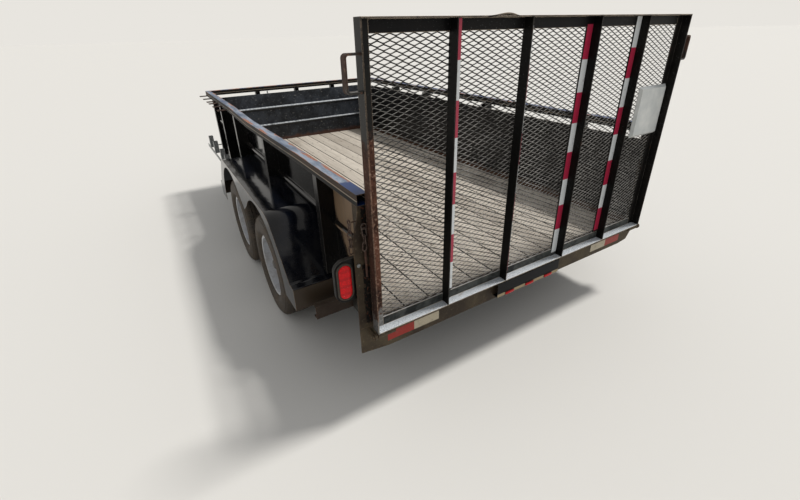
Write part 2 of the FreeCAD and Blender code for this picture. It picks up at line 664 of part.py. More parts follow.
def spring(station):
    pack = None
    bend = (SPRING_SPAN ** 2 + SPRING_SAG ** 2) / (2 * SPRING_SAG)
    centre_z = EYE_Z - SPRING_SAG + bend
    for share, place in SPRING_LEAVES:
        outer = bend + place * LEAF_THICK
        inner = outer - LEAF_THICK
        half = math.asin(SPRING_SPAN * share / bend)
        arcs = []
        for radius in (inner, outer):
            arcs.append([V(station + radius * math.sin(a), SPRING_Y - SPRING_WIDTH / 2,
                           centre_z - radius * math.cos(a)) for a in (-half, 0, half)])
        wire = Part.Wire([Part.Arc(*arcs[0]).toShape(),
                          Part.LineSegment(arcs[0][2], arcs[1][2]).toShape(),
                          Part.Arc(*arcs[1]).toShape(),
                          Part.LineSegment(arcs[1][0], arcs[0][0]).toShape()])
        leaf = Part.Face(wire).extrude(V(0, SPRING_WIDTH, 0))
        pack = leaf if pack is None else pack.fuse(leaf)
    for side in (-1, 1):
        eye = Part.makeCylinder(SPRING_EYE, SPRING_WIDTH,
                                V(station + side * SPRING_SPAN, SPRING_Y - SPRING_WIDTH / 2, EYE_Z), Y)
        pack = pack.fuse(eye)
    return pack.removeSplitter()


springs = []
for station in AXLE_STATIONS:
    springs += both(spring(station))
put("leaf_springs", springs)

# Hangers: a pair of cheeks at each spring end, and a wide one for the equaliser
hangers = []
for station in (REAR_AXLE - SPRING_SPAN, FRONT_AXLE + SPRING_SPAN, WHEELBASE_MIDDLE):
    spread = HANGER_WIDTH / 2
    low = EYE_Z - HANGER_DROP
    for side in (-1, 1):
        y0 = SPRING_Y + side * (SPRING_WIDTH / 2 + FIT)
        y1 = y0 + side * HANGER_WALL
        cheek = prism([(station - spread, FRAME_BOTTOM), (station - spread / 2, low),
                       (station + spread / 2, low), (station + spread, FRAME_BOTTOM)],
                      "y", min(y0, y1), max(y0, y1), (0, 10, 10, 0))
        hangers += both(cheek)
put("spring_hangers", hangers)

bar_half = WHEELBASE_MIDDLE - REAR_AXLE - SPRING_SPAN - SPRING_EYE - FIT
bar_rear = WHEELBASE_MIDDLE - bar_half
bar_front = WHEELBASE_MIDDLE + bar_half
equaliser = prism([(bar_rear, EYE_Z - EQUALISER_LOW), (bar_front, EYE_Z - EQUALISER_LOW),
                   (bar_front, EYE_Z + EQUALISER_HIGH), (bar_rear, EYE_Z + EQUALISER_HIGH)],
                  "y", SPRING_Y - EQUALISER_HALF, SPRING_Y + EQUALISER_HALF, (8, 8, 8, 8))
boss = ring(WHEELBASE_MIDDLE, SPRING_Y, EYE_Z - 2, Y, BOSS_RADIUS, 0, -SPRING_WIDTH / 2, SPRING_WIDTH / 2)
put("equalisers", both(equaliser.fuse(boss).removeSplitter()))


# Wheels: each is a tyre, a dished rim with a bolted disc, and a hub with its drum
def flat_sided(centre, side, profile):
    """A ring of TYRE_SIDES flats round the wheel's axis, with one flat on the ground."""
    corner = math.cos(math.pi / TYRE_SIDES)
    rings = []
    for number in range(TYRE_SIDES):
        angle = 2 * math.pi * (number + 0.5) / TYRE_SIDES - math.pi / 2
        rings.append([V(centre.x + r / corner * math.cos(angle), centre.y + side * w,
                        centre.z + r / corner * math.sin(angle)) for r, w in profile])
    faces = []
    for number in range(TYRE_SIDES):
        here, after = rings[number - 1], rings[number]
        for i in range(len(profile)):
            quad = [here[i - 1], here[i], after[i], after[i - 1], here[i - 1]]
            faces.append(Part.Face(Part.makePolygon(quad)))
    shell = Part.makeShell(faces)
    shell.sewShape()
    return Part.makeSolid(Part.Shell(shell.Faces))


def wheel_side(station, side):
    """Profiles are drawn at y = 0 as (radius, offset from the wheel's middle, outwards positive)."""
    centre = V(station, side * WHEEL_Y, TYRE_RADIUS)

    def turned(profile):
        points = [V(centre.x + r, centre.y + side * w, centre.z) for r, w in profile]
        wire = Part.makePolygon(points + points[:1])
        return Part.Face(wire).revolve(centre, Y, 360)

    half = TYRE_WIDTH / 2
    seat = RIM_RADIUS + FIT
    bead = RIM_WIDTH / 2 - FIT
    cheek = [(seat, bead), (seat + RIM_LIP + 3, bead), (seat + CHEEK_RISE, half),
             (TYRE_RADIUS - SHOULDER_LOW, half - SHOULDER_LOW_IN),
             (TYRE_RADIUS - SHOULDER_HIGH, half - SHOULDER_HIGH_IN), (TYRE_RADIUS, half - TREAD_EDGE)]
    tyre = flat_sided(centre, side, [(r, -w) for r, w in cheek] + cheek[::-1])
    rim_half = RIM_WIDTH / 2
    barrel = RIM_RADIUS
    inside = barrel - RIM_WALL
    lip = barrel + RIM_LIP
    edge_r, edge_w = DISC_EDGE
    crest_r, crest_w = DISC_CREST
    seat_r, seat_w = DISC_SEAT
    bore = HUB_RADIUS + FIT
    outer_edge = [(inside, rim_half + RIM_BEAD), (lip, rim_half + RIM_BEAD + 2), (lip, rim_half + 2),
                  (barrel, rim_half)]
    inner_edge = [(r, -w) for r, w in outer_edge[::-1]]
    back = [(inside, edge_w - 3 * RIM_WALL), (edge_r, edge_w), (crest_r, crest_w), (seat_r, seat_w),
            (bore, seat_w)]
    face = [(bore, seat_w + DISC_WALL), (seat_r - 2, seat_w + DISC_WALL), (crest_r - 2, crest_w + DISC_WALL),
            (edge_r + 2, edge_w + DISC_WALL), (inside, edge_w - RIM_WALL)]
    rim = turned(inner_edge + back + face + outer_edge)
    for number in range(VENT_COUNT):
        angle = 2 * math.pi * number / VENT_COUNT
        spot = V(centre.x + VENT_CIRCLE * math.cos(angle), centre.y - 3 * DISC_WALL,
                 centre.z + VENT_CIRCLE * math.sin(angle))
        rim = rim.cut(Part.makeCylinder(VENT_RADIUS, 6 * DISC_WALL, spot, Y))
    drum_back = -DRUM_LENGTH - DRUM_SET
    drum_wall = DRUM_RADIUS - DRUM_LIP
    hole = SPINDLE_RADIUS + FIT
    hub = turned([(hole, drum_back), (drum_wall, drum_back), (drum_wall, -DRUM_SET - DRUM_LIP),
                  (DRUM_RADIUS, -DRUM_SET - DRUM_LIP), (DRUM_RADIUS, -DRUM_SET), (DRUM_NECK, seat_w - FIT),
                  (HUB_RADIUS, seat_w - FIT), (HUB_RADIUS, HUB_END), (CAP_RADIUS, CAP_START),
                  (CAP_RADIUS, CAP_END - 6), (CAP_RADIUS - 6, CAP_END), (0.0, CAP_END), (0.0, HUB_BORE_END),
                  (hole, HUB_BORE_END)])
    return tyre, rim, hub


WHEEL_PLACES = (
    ("rear_left", REAR_AXLE, 1), ("rear_right", REAR_AXLE, -1),
    ("front_left", FRONT_AXLE, 1), ("front_right", FRONT_AXLE, -1),
)
for name, station, side in WHEEL_PLACES:
    tyre, rim, hub = wheel_side(station, side)
    put("tyre_" + name, [tyre])
    put("rim_" + name, [rim])
    put("hub_" + name, [hub])


# Tongue: two channels that meet at the coupler
def tongue_beam():
    """The left channel of the tongue, its web outwards, cut square to the sill and the centre line."""
    nose_x = TONGUE_NOSE_X
    nose_y = TONGUE_NOSE
    root_x = FRONT_OUTER
    root_y = TONGUE_ROOT
    wide = TONGUE_FLANGE * math.hypot(1, TONGUE_SLOPE)
    web = TONGUE_WALL * math.hypot(1, TONGUE_SLOPE)
    low = TONGUE_TOP - TONGUE_HEIGHT
    whole = prism([(root_x, root_y), (root_x, root_y - wide), (nose_x, nose_y - wide), (nose_x, nose_y)],
                  "z", low, TONGUE_TOP)
    inside = prism([(root_x, root_y - web), (root_x, root_y - wide - 9), (nose_x, nose_y - wide - 9),
                    (nose_x, nose_y - web)], "z", low + TONGUE_WALL, TONGUE_TOP - TONGUE_WALL)
    centre = box(FRONT_OUTER, BALL_X, -TONGUE_ROOT, FIT, low - 1, TONGUE_TOP + 1)
    return whole.cut(inside).cut(centre)


put("tongue_beams", both(tongue_beam()))

# Coupler: a pressed shell over the tongue's nose, with the ball socket under its tip
PLATE_TOP = TONGUE_TOP + NOSE_PLATE_WALL
SOCKET_BOTTOM = TONGUE_TOP - COUPLER_DEPTH
SHELL_BACK = BALL_X - COUPLER_NOSE
plate_back = JACK_X - NOSE_PLATE_BACK
back_half = TONGUE_NOSE + (TONGUE_NOSE_X - plate_back) * TONGUE_SLOPE
plate = prism([(plate_back, -back_half), (SHELL_BACK, -COUPLER_HALF), (SHELL_BACK, COUPLER_HALF),
               (plate_back, back_half)], "z", TONGUE_TOP, PLATE_TOP, (20, 0, 0, 20))
plate = plate.cut(ring(JACK_X, 0, TONGUE_TOP, Z, JACK_TUBE_RADIUS + FIT, 0, -1, NOSE_PLATE_WALL + 1))
dome = ring(BALL_X, 0, 0, Z, COUPLER_HALF, 0, SOCKET_BOTTOM, PLATE_TOP)
head = box(SHELL_BACK, BALL_X, -COUPLER_HALF, COUPLER_HALF, SOCKET_BOTTOM, PLATE_TOP)
nose = ring(BALL_X, 0, 0, Z, COUPLER_NOSE, 0, SOCKET_BOTTOM, SOCKET_BOTTOM + COUPLER_RIM)
coupler = plate.fuse([dome, head, nose])
socket_radius = BALL_RADIUS + BALL_CLEARANCE
coupler = coupler.cut(ring(BALL_X, 0, SOCKET_BOTTOM, Z, socket_radius, 0, 0, SOCKET_DEPTH))
coupler = coupler.cut(Part.makeSphere(socket_radius, V(BALL_X, 0, SOCKET_BOTTOM + SOCKET_DEPTH)))
put("coupler", [coupler.removeSplitter()])

latch = prism([(BALL_X - back, PLATE_TOP + up) for back, up, turn in LATCH_OUTLINE], "y",
              -LATCH_HALF, LATCH_HALF, [turn for back, up, turn in LATCH_OUTLINE])
put("coupler_latch", [latch])

# Jack: an outer tube on a flange, with its gear head and crank, and a leg that slides in it
flange_edge = [(JACK_X + ahead, half) for ahead, half in JACK_FLANGE]
flange = prism(flange_edge + [(x, -half) for x, half in flange_edge[::-1]], "z",
               PLATE_TOP, PLATE_TOP + JACK_FLANGE_WALL, (14, 14, 14, 14))
tube = ring(JACK_X, 0, 0, Z, JACK_TUBE_RADIUS, JACK_TUBE_RADIUS - JACK_TUBE_WALL, JACK_TUBE_BOTTOM,
            JACK_TUBE_TOP)
cap = ring(JACK_X, 0, 0, Z, JACK_TUBE_RADIUS + 5, 0, JACK_TUBE_TOP, JACK_TUBE_TOP + JACK_CAP)
jack = flange.cut(ring(JACK_X, 0, PLATE_TOP, Z, JACK_TUBE_RADIUS - 1, 0, -1, JACK_FLANGE_WALL + 1))
jack = jack.fuse([tube, cap]).removeSplitter()
put("jack_body", [jack])

crank_z = JACK_TUBE_TOP + JACK_CAP + FIT
arm_z = crank_z + CRANK_RISE
crank = ring(JACK_X, 0, 0, Z, CRANK_HUB, 0, crank_z, arm_z + CRANK_WALL)
arm = box(JACK_X - 10, JACK_X + 10, -14, CRANK_ARM + 14, arm_z, arm_z + CRANK_WALL)
grip = ring(JACK_X, CRANK_ARM, arm_z, Z, GRIP_RADIUS, 0, 0, GRIP_LENGTH)
put("jack_crank", [crank.fuse([arm, grip]).removeSplitter()])

leg_radius = JACK_TUBE_RADIUS - JACK_TUBE_WALL - JACK_LEG_CLEARANCE
leg = ring(JACK_X, 0, 0, Z, leg_radius, leg_radius - 4, JACK_FOOT_THICK, JACK_LEG_TOP)
foot = prism([(JACK_X - JACK_FOOT / 2, -JACK_FOOT / 2), (JACK_X + JACK_FOOT / 2, -JACK_FOOT / 2),
              (JACK_X + JACK_FOOT / 2, JACK_FOOT / 2), (JACK_X - JACK_FOOT / 2, JACK_FOOT / 2)],
             "z", 0, JACK_FOOT_THICK, (22, 22, 22, 22))
put("jack_leg", [leg.fuse(foot).removeSplitter()])


# Tail lamps: a D-shaped bracket off each corner post, with an oval lens in a rubber ring
def stadium(y, z, short, tall, x0, x1):
    """An upright slot shape: straight sides and round ends."""
    half = short / 2
    outline = [(y - half, z - tall / 2), (y + half, z - tall / 2), (y + half, z + tall / 2),
               (y - half, z + tall / 2)]
    return prism(outline, "x", x0, x1, [half - 0.05] * 4)


lamp_front = SILL_FACE + LAMP_SET
lamp_back = lamp_front - LAMP_PLATE_WALL


def lamp_plate(inset, x0, x1):
    """The bracket's D outline, straight on the post and round outside, made smaller by inset."""
    low = LAMP_Z - LAMP_PLATE_HEIGHT / 2 + inset
    high = LAMP_Z + LAMP_PLATE_HEIGHT / 2 - inset
    outer = RAIL_OUTER + LAMP_PLATE_WIDTH - inset
    turn = LAMP_PLATE_ROUND - inset
    return prism([(RAIL_OUTER, low), (outer, low), (outer, high), (RAIL_OUTER, high)], "x", x0, x1,
                 (0, turn, turn, 0))


bracket = lamp_plate(0, lamp_back, lamp_front + LAMP_HOOD)
bracket = bracket.cut(lamp_plate(LAMP_PLATE_WALL, lamp_front, lamp_front + LAMP_HOOD))
hole_short = LAMP_SHORT + 2 * LAMP_FIT
hole_long = LAMP_LONG + 2 * LAMP_FIT
bracket = bracket.cut(stadium(LAMP_Y, LAMP_Z, hole_short, hole_long, lamp_back - 1, lamp_front + 1))
put("tail_lamp_brackets", both(bracket))

grommet = stadium(LAMP_Y, LAMP_Z, LAMP_SHORT + 2 * GROMMET_RIM, LAMP_LONG + 2 * GROMMET_RIM,
                  lamp_back - LAMP_FIT, lamp_back)
grommet = grommet.fuse(stadium(LAMP_Y, LAMP_Z, hole_short - 2 * FIT, hole_long - 2 * FIT, lamp_back,
                               lamp_front + GROMMET_BACK))
grommet = grommet.cut(stadium(LAMP_Y, LAMP_Z, LAMP_SHORT, LAMP_LONG, lamp_back - LAMP_FIT, lamp_front + 4))
put("lamp_grommets", both(grommet.removeSplitter()))
lens = stadium(LAMP_Y, LAMP_Z, LAMP_SHORT - 2 * FIT, LAMP_LONG - 2 * FIT, lamp_front - LAMP_DEPTH,
               lamp_front + 4 - FIT)

# Centre light bar: a channel on the sill's rear face with three small lamps along its foot
bar_face = SILL_FACE - BAR_OUT
light_bar = channel_y(bar_face, 1, -BAR_LENGTH / 2, BAR_LENGTH / 2, FRAME_BOTTOM,
                      FRAME_BOTTOM + BAR_HEIGHT, BAR_OUT, BAR_WALL)
put("light_bar", [light_bar])
bar_lenses = []
for number in (-1, 0, 1):
    y = number * BAR_LAMP_PITCH
    lamp_low = FRAME_BOTTOM + BAR_LAMP_RISE
    bar_lenses.append(box(bar_face - BAR_LAMP_DEPTH, bar_face - FIT, y - BAR_LAMP_WIDTH / 2,
                          y + BAR_LAMP_WIDTH / 2, lamp_low, lamp_low + BAR_LAMP_HEIGHT))
put("lamp_lenses", both(lens) + bar_lenses)

# Rear outriggers: channel stubs that carry the fender's rear end
stub = channel_y(STUB_STATION, 1, SHEET_OUTER, STUB_END, FRAME_BOTTOM, FRAME_BOTTOM + STUB_HEIGHT,
                 STUB_FLANGE, STUB_WALL)
put("rear_outriggers", both(stub))

# Tool rack on the outside of the left side: forks under the top rail, cups on a bar below
forks = []
for station in HOOK_STATIONS:
    end = RAIL_OUTER + HOOK_REACH
    root = RAIL_OUTER + HOOK_ROOT
    low = RAIL_BOTTOM + HOOK_WALL
    half_mouth = HOOK_MOUTH / 2
    half = HOOK_WIDTH / 2
    fork = box(station - half, station + half, RAIL_OUTER, end, low, low + HOOK_WALL)
    rear = station - half_mouth
    front = station + half_mouth
    mouth = prism([(rear, root), (front, root), (front, end + 1), (rear, end + 1)], "z", low - 1,
                  low + HOOK_WALL + 1, (HOOK_MOUTH * 0.45, HOOK_MOUTH * 0.45, 0, 0))
    forks.append(fork.cut(mouth))
put("tool_rack_hooks", forks)

rack_bar = box(RACK_REAR, RAIL_FRONT, RACK_BAR_OUT - RACK_BAR_WALL, RACK_BAR_OUT, RACK_BAR_Z,
               RACK_BAR_Z + RACK_BAR_HEIGHT)
rack_posts = (
    (POST_STATIONS[-1], SHEET_OUTER + POST_DEPTH),
    (FRONT_OUTER + FRONT_POST_DEPTH / 2, RAIL_INNER),
)
for station, face in rack_posts:
    arm = box(station - ARM_WIDTH / 2, station + ARM_WIDTH / 2, face, RACK_BAR_OUT - RACK_BAR_WALL,
              RACK_BAR_Z, RACK_BAR_Z + RACK_BAR_WALL)
    rack_bar = rack_bar.fuse(arm)
cup_rear = RACK_BAR_OUT - CUP_SIZE
floor = RACK_BAR_Z + RACK_BAR_HEIGHT
for station in CUP_STATIONS:
    half = CUP_SIZE / 2
    cup = box(station - half, station + half, cup_rear, RACK_BAR_OUT, floor, floor + CUP_HEIGHT)
    cup = cup.cut(box(station - half + CUP_WALL, station + half - CUP_WALL, cup_rear + CUP_WALL,
                      RACK_BAR_OUT - CUP_WALL, floor + CUP_WALL, floor + CUP_HEIGHT))
    rack_bar = rack_bar.fuse(cup)
put("tool_rack_sockets", [rack_bar.removeSplitter()])

# Latch chains: links of flat-sided wire from eyes on each corner post, one chain with the latch pin
def flat_loop(x, y, middle, turned_flat, half_wide, half_tall):
    """An upright loop of wire with cut corners; it lies across y where turned_flat, else along x."""
    across, axis, deep = (y, "x", x) if turned_flat else (x, "y", y)
    parts = []
    for inset in (0, LINK_WIRE):
        w = half_wide - inset
        t = half_tall - inset
        cut = LINK_CORNER * half_wide - inset * (2 - math.sqrt(2))
        outline = [(-w, cut - t), (cut - w, -t), (w - cut, -t), (w, cut - t),
                   (w, t - cut), (w - cut, t), (cut - w, t), (-w, t - cut)]
        parts.append(prism([(across + u, middle + v) for u, v in outline], axis, deep - LINK_WIRE / 2,
                           deep + LINK_WIRE / 2))
    return parts[0].cut(parts[1])


def strand(x, y, height, turned_flat, count):
    """Eye, links and, on the rear chain, the latch pin, from the top down."""
    half = LINK_WIRE / 2
    hole = EYE_RADIUS - LINK_WIRE
    eye = flat_loop(x, y, height, not turned_flat, EYE_RADIUS, EYE_RADIUS)
    if turned_flat:
        stem = box(x + hole + half, SILL_FACE, y - half, y + half, height - half, height + half)
    else:
        stem = box(x - half, x + half, RAIL_OUTER, y - hole - half, height - half, height + half)
    pieces = [eye.fuse(stem).removeSplitter()]
    z = height - hole + LINK_FIT
    pin = turned_flat
    for number in range(count):
        pieces.append(flat_loop(x, y, z + LINK_WIRE - LINK_LONG / 2, turned_flat, LINK_WIDE / 2,
                                LINK_LONG / 2))
        turned_flat = not turned_flat
        z += LINK_FIT + 2 * LINK_WIRE - LINK_LONG
    if pin:
        middle = z - hole
        ring_end = flat_loop(x, y, middle, turned_flat, EYE_RADIUS, EYE_RADIUS)
        corners = [math.pi * (number + 0.5) / 4 for number in range(8)]
        rod = prism([(x + PIN_THICK * math.cos(a), y + PIN_THICK * math.sin(a)) for a in corners], "z",
                    middle - hole - half - PIN_DROP, middle - hole - half)
        pieces.append(ring_end.fuse(rod).removeSplitter())
    return pieces


chains = []
side_chain = strand(SILL_FACE + EYE_RADIUS, RAIL_OUTER + SIDE_EYE_OUT, SIDE_EYE_HEIGHT, False,
                    SIDE_LINK_COUNT)
rear_chain = strand(SILL_FACE - REAR_EYE_BACK, RAIL_OUTER - EYE_RADIUS, REAR_EYE_HEIGHT, True,
                    REAR_LINK_COUNT)
for shape in side_chain + rear_chain:
    chains += both(shape)
put("latch_chains", chains)


# Ramp gate: angle uprights and crossbars, ribs, mesh and a blank plate
def angle_z(y, inward, z0, z1):
    """An upright angle: one leg in the gate's plane, one leg pointing back."""
    face = y + inward * GATE_LEG
    wall = y + inward * GATE_WALL
    outline = [(0.0, y), (0.0, face), (-GATE_WALL, face), (-GATE_WALL, wall), (-GATE_LEG, wall),
               (-GATE_LEG, y)]
    return prism(outline, "z", z0, z1)


def angle_y(z, inward, y0, y1):
    """A crossbar angle: one leg in the gate's plane, one leg pointing back."""
    face = z + inward * GATE_LEG
    wall = z + inward * GATE_WALL
    outline = [(0.0, z), (0.0, face), (-GATE_WALL, face), (-GATE_WALL, wall), (-GATE_LEG, wall),
               (-GATE_LEG, z)]
    return prism(outline, "y", y0, y1)


upright = angle_z(GATE_HALF, -1, GATE_BOTTOM, GATE_TOP)
put("gate_uprights", both(upright))
INNER_HALF = GATE_HALF - GATE_LEG
bars = []
for z, inward in ((GATE_BOTTOM, 1), (GATE_TOP, -1)):
    bar = angle_y(z, inward, -GATE_HALF + GATE_WALL, GATE_HALF - GATE_WALL)
    for side in (-1, 1):
        a, b = sorted((side * INNER_HALF, side * GATE_HALF))
        bar = bar.cut(box(-GATE_WALL, 1, a, b, GATE_BOTTOM - 1, GATE_TOP + 1))
    bars.append(bar)
put("gate_crossbars", bars)

ribs = []
for y in GATE_RIB_Y:
    rib = angle_z(y, -1, GATE_BOTTOM + GATE_LEG, GATE_TOP - GATE_LEG)
    leg = box(-GATE_LEG, -GATE_WALL, y - GATE_WALL, y, GATE_BOTTOM + GATE_WALL, GATE_TOP - GATE_WALL)
    ribs += both(rib.fuse(leg).removeSplitter())
put("gate_ribs", ribs)


def clip(foot, top, half_y, z0, z1):
    """The stretch of a leaning strand that lies inside the gate, or None where it is too short."""
    (ya, za), (yb, zb) = foot, top
    lean = (yb - ya) / (zb - za)
    low = za
    high = zb
    for bound in (-half_y, half_y):
        z = za + (bound - ya) / lean
        inside_above = (bound < 0) == (lean > 0)
        if inside_above:
            low = max(low, z)
        else:
            high = min(high, z)
    low = max(low, z0) + MESH_STRAND
    high = min(high, z1) - MESH_STRAND
    if high - low < 2 * MESH_SHORT:
        return None
    return (ya + (low - za) * lean, low), (ya + (high - za) * lean, high)


mesh = []
half_y = GATE_HALF - 2
z0 = GATE_BOTTOM + 2
z1 = GATE_TOP - 2
rise = MESH_SHORT / MESH_LONG
run = (z1 - z0) / rise
half_w = MESH_STRAND / 2 * math.hypot(1, rise)
for layer, lean in ((0, 1), (1, -1)):
    x0 = FIT + layer * (MESH_THICK + FIT)
    count = int((2 * half_y + run) / MESH_LONG)
    for number in range(1, count + 1):
        y = -half_y - run + number * MESH_LONG
        foot, top = (y, z0), (y + run, z1)
        if lean < 0:
            foot, top = (-y, z0), (-y - run, z1)
        stretch = clip(foot, top, half_y, z0, z1)
        if stretch:
            (ya, za), (yb, zb) = stretch
            mesh.append(prism([(ya, za - half_w), (yb, zb - half_w), (yb, zb + half_w), (ya, za + half_w)],
                              "x", x0, x0 + MESH_THICK))
put("gate_mesh", mesh)

sign_y, sign_z = SIGN_CENTRE


def sign_block(inset, back, deep):
    """A shallow block whose edges slope in by SIGN_FOLD towards its face."""
    wires = []
    for x, fold in ((back, 0), (back - deep, SIGN_FOLD)):
        half_wide = SIGN_WIDTH / 2 - inset - fold
        half_tall = SIGN_HEIGHT / 2 - inset - fold
        corners = [V(x, sign_y + a * half_wide, sign_z + b * half_tall)
                   for a, b in ((-1, -1), (1, -1), (1, 1), (-1, 1), (-1, -1))]
        wires.append(Part.makePolygon(corners))
    return Part.makeLoft(wires, True, True)


sign_back = -GATE_WALL - FIT
sign = sign_block(0, sign_back, SIGN_DEPTH).cut(sign_block(SIGN_WALL, sign_back, SIGN_DEPTH - SIGN_WALL))
put("gate_plate", [sign])

# Catches: a strap loop outside each upright, which a latch pin drops through
def catch_outline(inset, inner):
    """The strap's outline from the upright outwards, made smaller by inset."""
    outer = GATE_HALF + CATCH_REACH - inset
    return [(inner, CATCH_LOW + inset), (outer, CATCH_LOW + inset), (outer, CATCH_HIGH - inset),
            (inner, CATCH_HIGH - inset)]


catch_back = -GATE_LEG + CATCH_WALL
catch = prism(catch_outline(0, GATE_HALF), "x", catch_back, catch_back + CATCH_WIDTH,
              (0, 2 * CATCH_WALL, 2 * CATCH_WALL, 0))
catch = catch.cut(prism(catch_outline(CATCH_WALL, GATE_HALF - 1), "x", -GATE_LEG, 0,
                        (0, CATCH_WALL, CATCH_WALL, 0)))
put("gate_catches", both(catch))

# Gate hinge: pins turned with their barrels, in lugs on the rear sill
barrel_inner = GATE_HALF - BARREL_LENGTH
barrel = ring(HINGE_X, 0, HINGE_Z, Y, BARREL_RADIUS, 0, barrel_inner, GATE_HALF)
pin = ring(HINGE_X, 0, HINGE_Z, Y, PIN_RADIUS, 0, GATE_HALF, LUG_OUTER + 1)
head = ring(HINGE_X, 0, HINGE_Z, Y, PIN_HEAD_RADIUS, 0, LUG_OUTER + 1, LUG_OUTER + 1 + PIN_HEAD_LENGTH)
put("gate_pins", both(barrel.fuse([pin, head]).removeSplitter()))

lug = prism([(SILL_FACE, HINGE_Z - LUG_RADIUS), (HINGE_X, HINGE_Z - LUG_RADIUS),
             (HINGE_X, HINGE_Z + LUG_RADIUS), (SILL_FACE, HINGE_Z + LUG_RADIUS)], "y", LUG_INNER, LUG_OUTER)
lug = lug.fuse(ring(HINGE_X, 0, HINGE_Z, Y, LUG_RADIUS, 0, LUG_INNER, LUG_OUTER)).removeSplitter()
lug = lug.cut(ring(HINGE_X, 0, HINGE_Z, Y, PIN_RADIUS + PIN_CLEARANCE, 0, LUG_INNER - 1, LUG_OUTER + 1))
put("hinge_lugs", both(lug))
print("middle station", MIDDLE, "nose", COUPLER_TIP, "width", 2 * FENDER_OUTER)
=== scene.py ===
# %% [markdown]
# The object is a tandem-axle utility trailer with solid sheet sides, a plank deck and a mesh
# ramp gate, parked on its jack. Its steel pieces come from the frame, already at their real
# size and place. This file gives each of them a finish and adds what a plain solid leaves out:
# expanded mesh, tyre tread, reflective tape, bolts, welds, chain and weathered planks.

# %% Load the frame
import math
import random

import bmesh
import bpy
from mathutils import Matrix, Vector


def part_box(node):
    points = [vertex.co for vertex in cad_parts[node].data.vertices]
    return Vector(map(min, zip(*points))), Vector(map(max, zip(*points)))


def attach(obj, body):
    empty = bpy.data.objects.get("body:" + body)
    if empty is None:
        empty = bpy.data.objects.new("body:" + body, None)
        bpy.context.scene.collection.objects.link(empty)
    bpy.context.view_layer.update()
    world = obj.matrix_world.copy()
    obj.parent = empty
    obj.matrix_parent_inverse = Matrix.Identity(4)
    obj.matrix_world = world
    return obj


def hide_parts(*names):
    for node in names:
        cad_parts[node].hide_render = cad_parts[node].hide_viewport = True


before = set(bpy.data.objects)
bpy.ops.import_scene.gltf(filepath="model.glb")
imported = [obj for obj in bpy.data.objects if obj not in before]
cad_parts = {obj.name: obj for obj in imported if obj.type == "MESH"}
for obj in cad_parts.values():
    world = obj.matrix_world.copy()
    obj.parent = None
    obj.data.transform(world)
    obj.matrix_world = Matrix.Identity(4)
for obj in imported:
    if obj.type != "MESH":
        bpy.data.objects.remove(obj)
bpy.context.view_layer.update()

scene = bpy.context.scene
chance = random.Random(7)
print("pieces from the frame:", len(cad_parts))

# %% [markdown]
# The view is that of a phone held at eye height behind the left rear corner. Its place, aim and
# small tilt were solved from the trailer's own corners. The lens is shifted by a few pixels to
# frame the trailer, because turning the camera would change its perspective.

# %% Camera
FRAME_WIDTH = 800
FOCAL_PIXELS = 402.34
SENSOR_WIDTH = 36.0
CAMERA_PLACE = Vector((-3.8641, 1.6504, 1.7237))
CAMERA_LOOK = Vector((0.7719, -0.4625, -0.4362))
CAMERA_ROLL = math.radians(-1.5)
SHIFT_PIXELS = 25


def in_scene(name, data):
    """An object that holds the data, linked to the scene."""
    made = bpy.data.objects.new(name, data)
    scene.collection.objects.link(made)
    return made


def aim(thing, way):
    """Turn a camera or a lamp so that it looks along a direction."""
    thing.rotation_mode = "QUATERNION"
    thing.rotation_quaternion = way.to_track_quat("-Z", "Y")


camera = in_scene("camera", bpy.data.cameras.new("camera"))
scene.camera = camera
camera.location = CAMERA_PLACE
aim(camera, CAMERA_LOOK)
camera.rotation_quaternion @= Matrix.Rotation(CAMERA_ROLL, 3, "Z").to_quaternion()
camera.data.sensor_width = SENSOR_WIDTH
camera.data.lens = FOCAL_PIXELS / FRAME_WIDTH * SENSOR_WIDTH
camera.data.shift_y = -SHIFT_PIXELS / FRAME_WIDTH
print("lens", round(camera.data.lens, 2), "mm")

# %% [markdown]
# A finish is a node tree, and the same few moves come up in every one: noise at a real scale, a
# soft threshold, a colour laid over another, a mask along edges. As methods of one small class,
# they let each recipe read as a list of what the surface has been through. Object coordinates
# keep a pattern on its piece when the piece moves.

# %% Helpers for finishes
def tone(code):
    """A linear colour from the hex code that a colour chart gives."""
    levels = [int(code[i:i + 2], 16) / 255 for i in (0, 2, 4)]
    return [((level + 0.055) / 1.055) ** 2.4 for level in levels] + [1.0]


def join(tree, value, socket):
    """Link a socket, or write a number or a colour's hex code in its place."""
    if isinstance(value, bpy.types.NodeSocket):
        tree.links.new(value, socket)
    else:
        socket.default_value = tone(value) if isinstance(value, str) else value


def add_node(tree, kind, inputs=None, **settings):
    node = tree.nodes.new("ShaderNode" + kind)
    for key, value in settings.items():
        setattr(node, key, value)
    for key, value in (inputs or {}).items():
        join(tree, value, node.inputs[key])
    return node


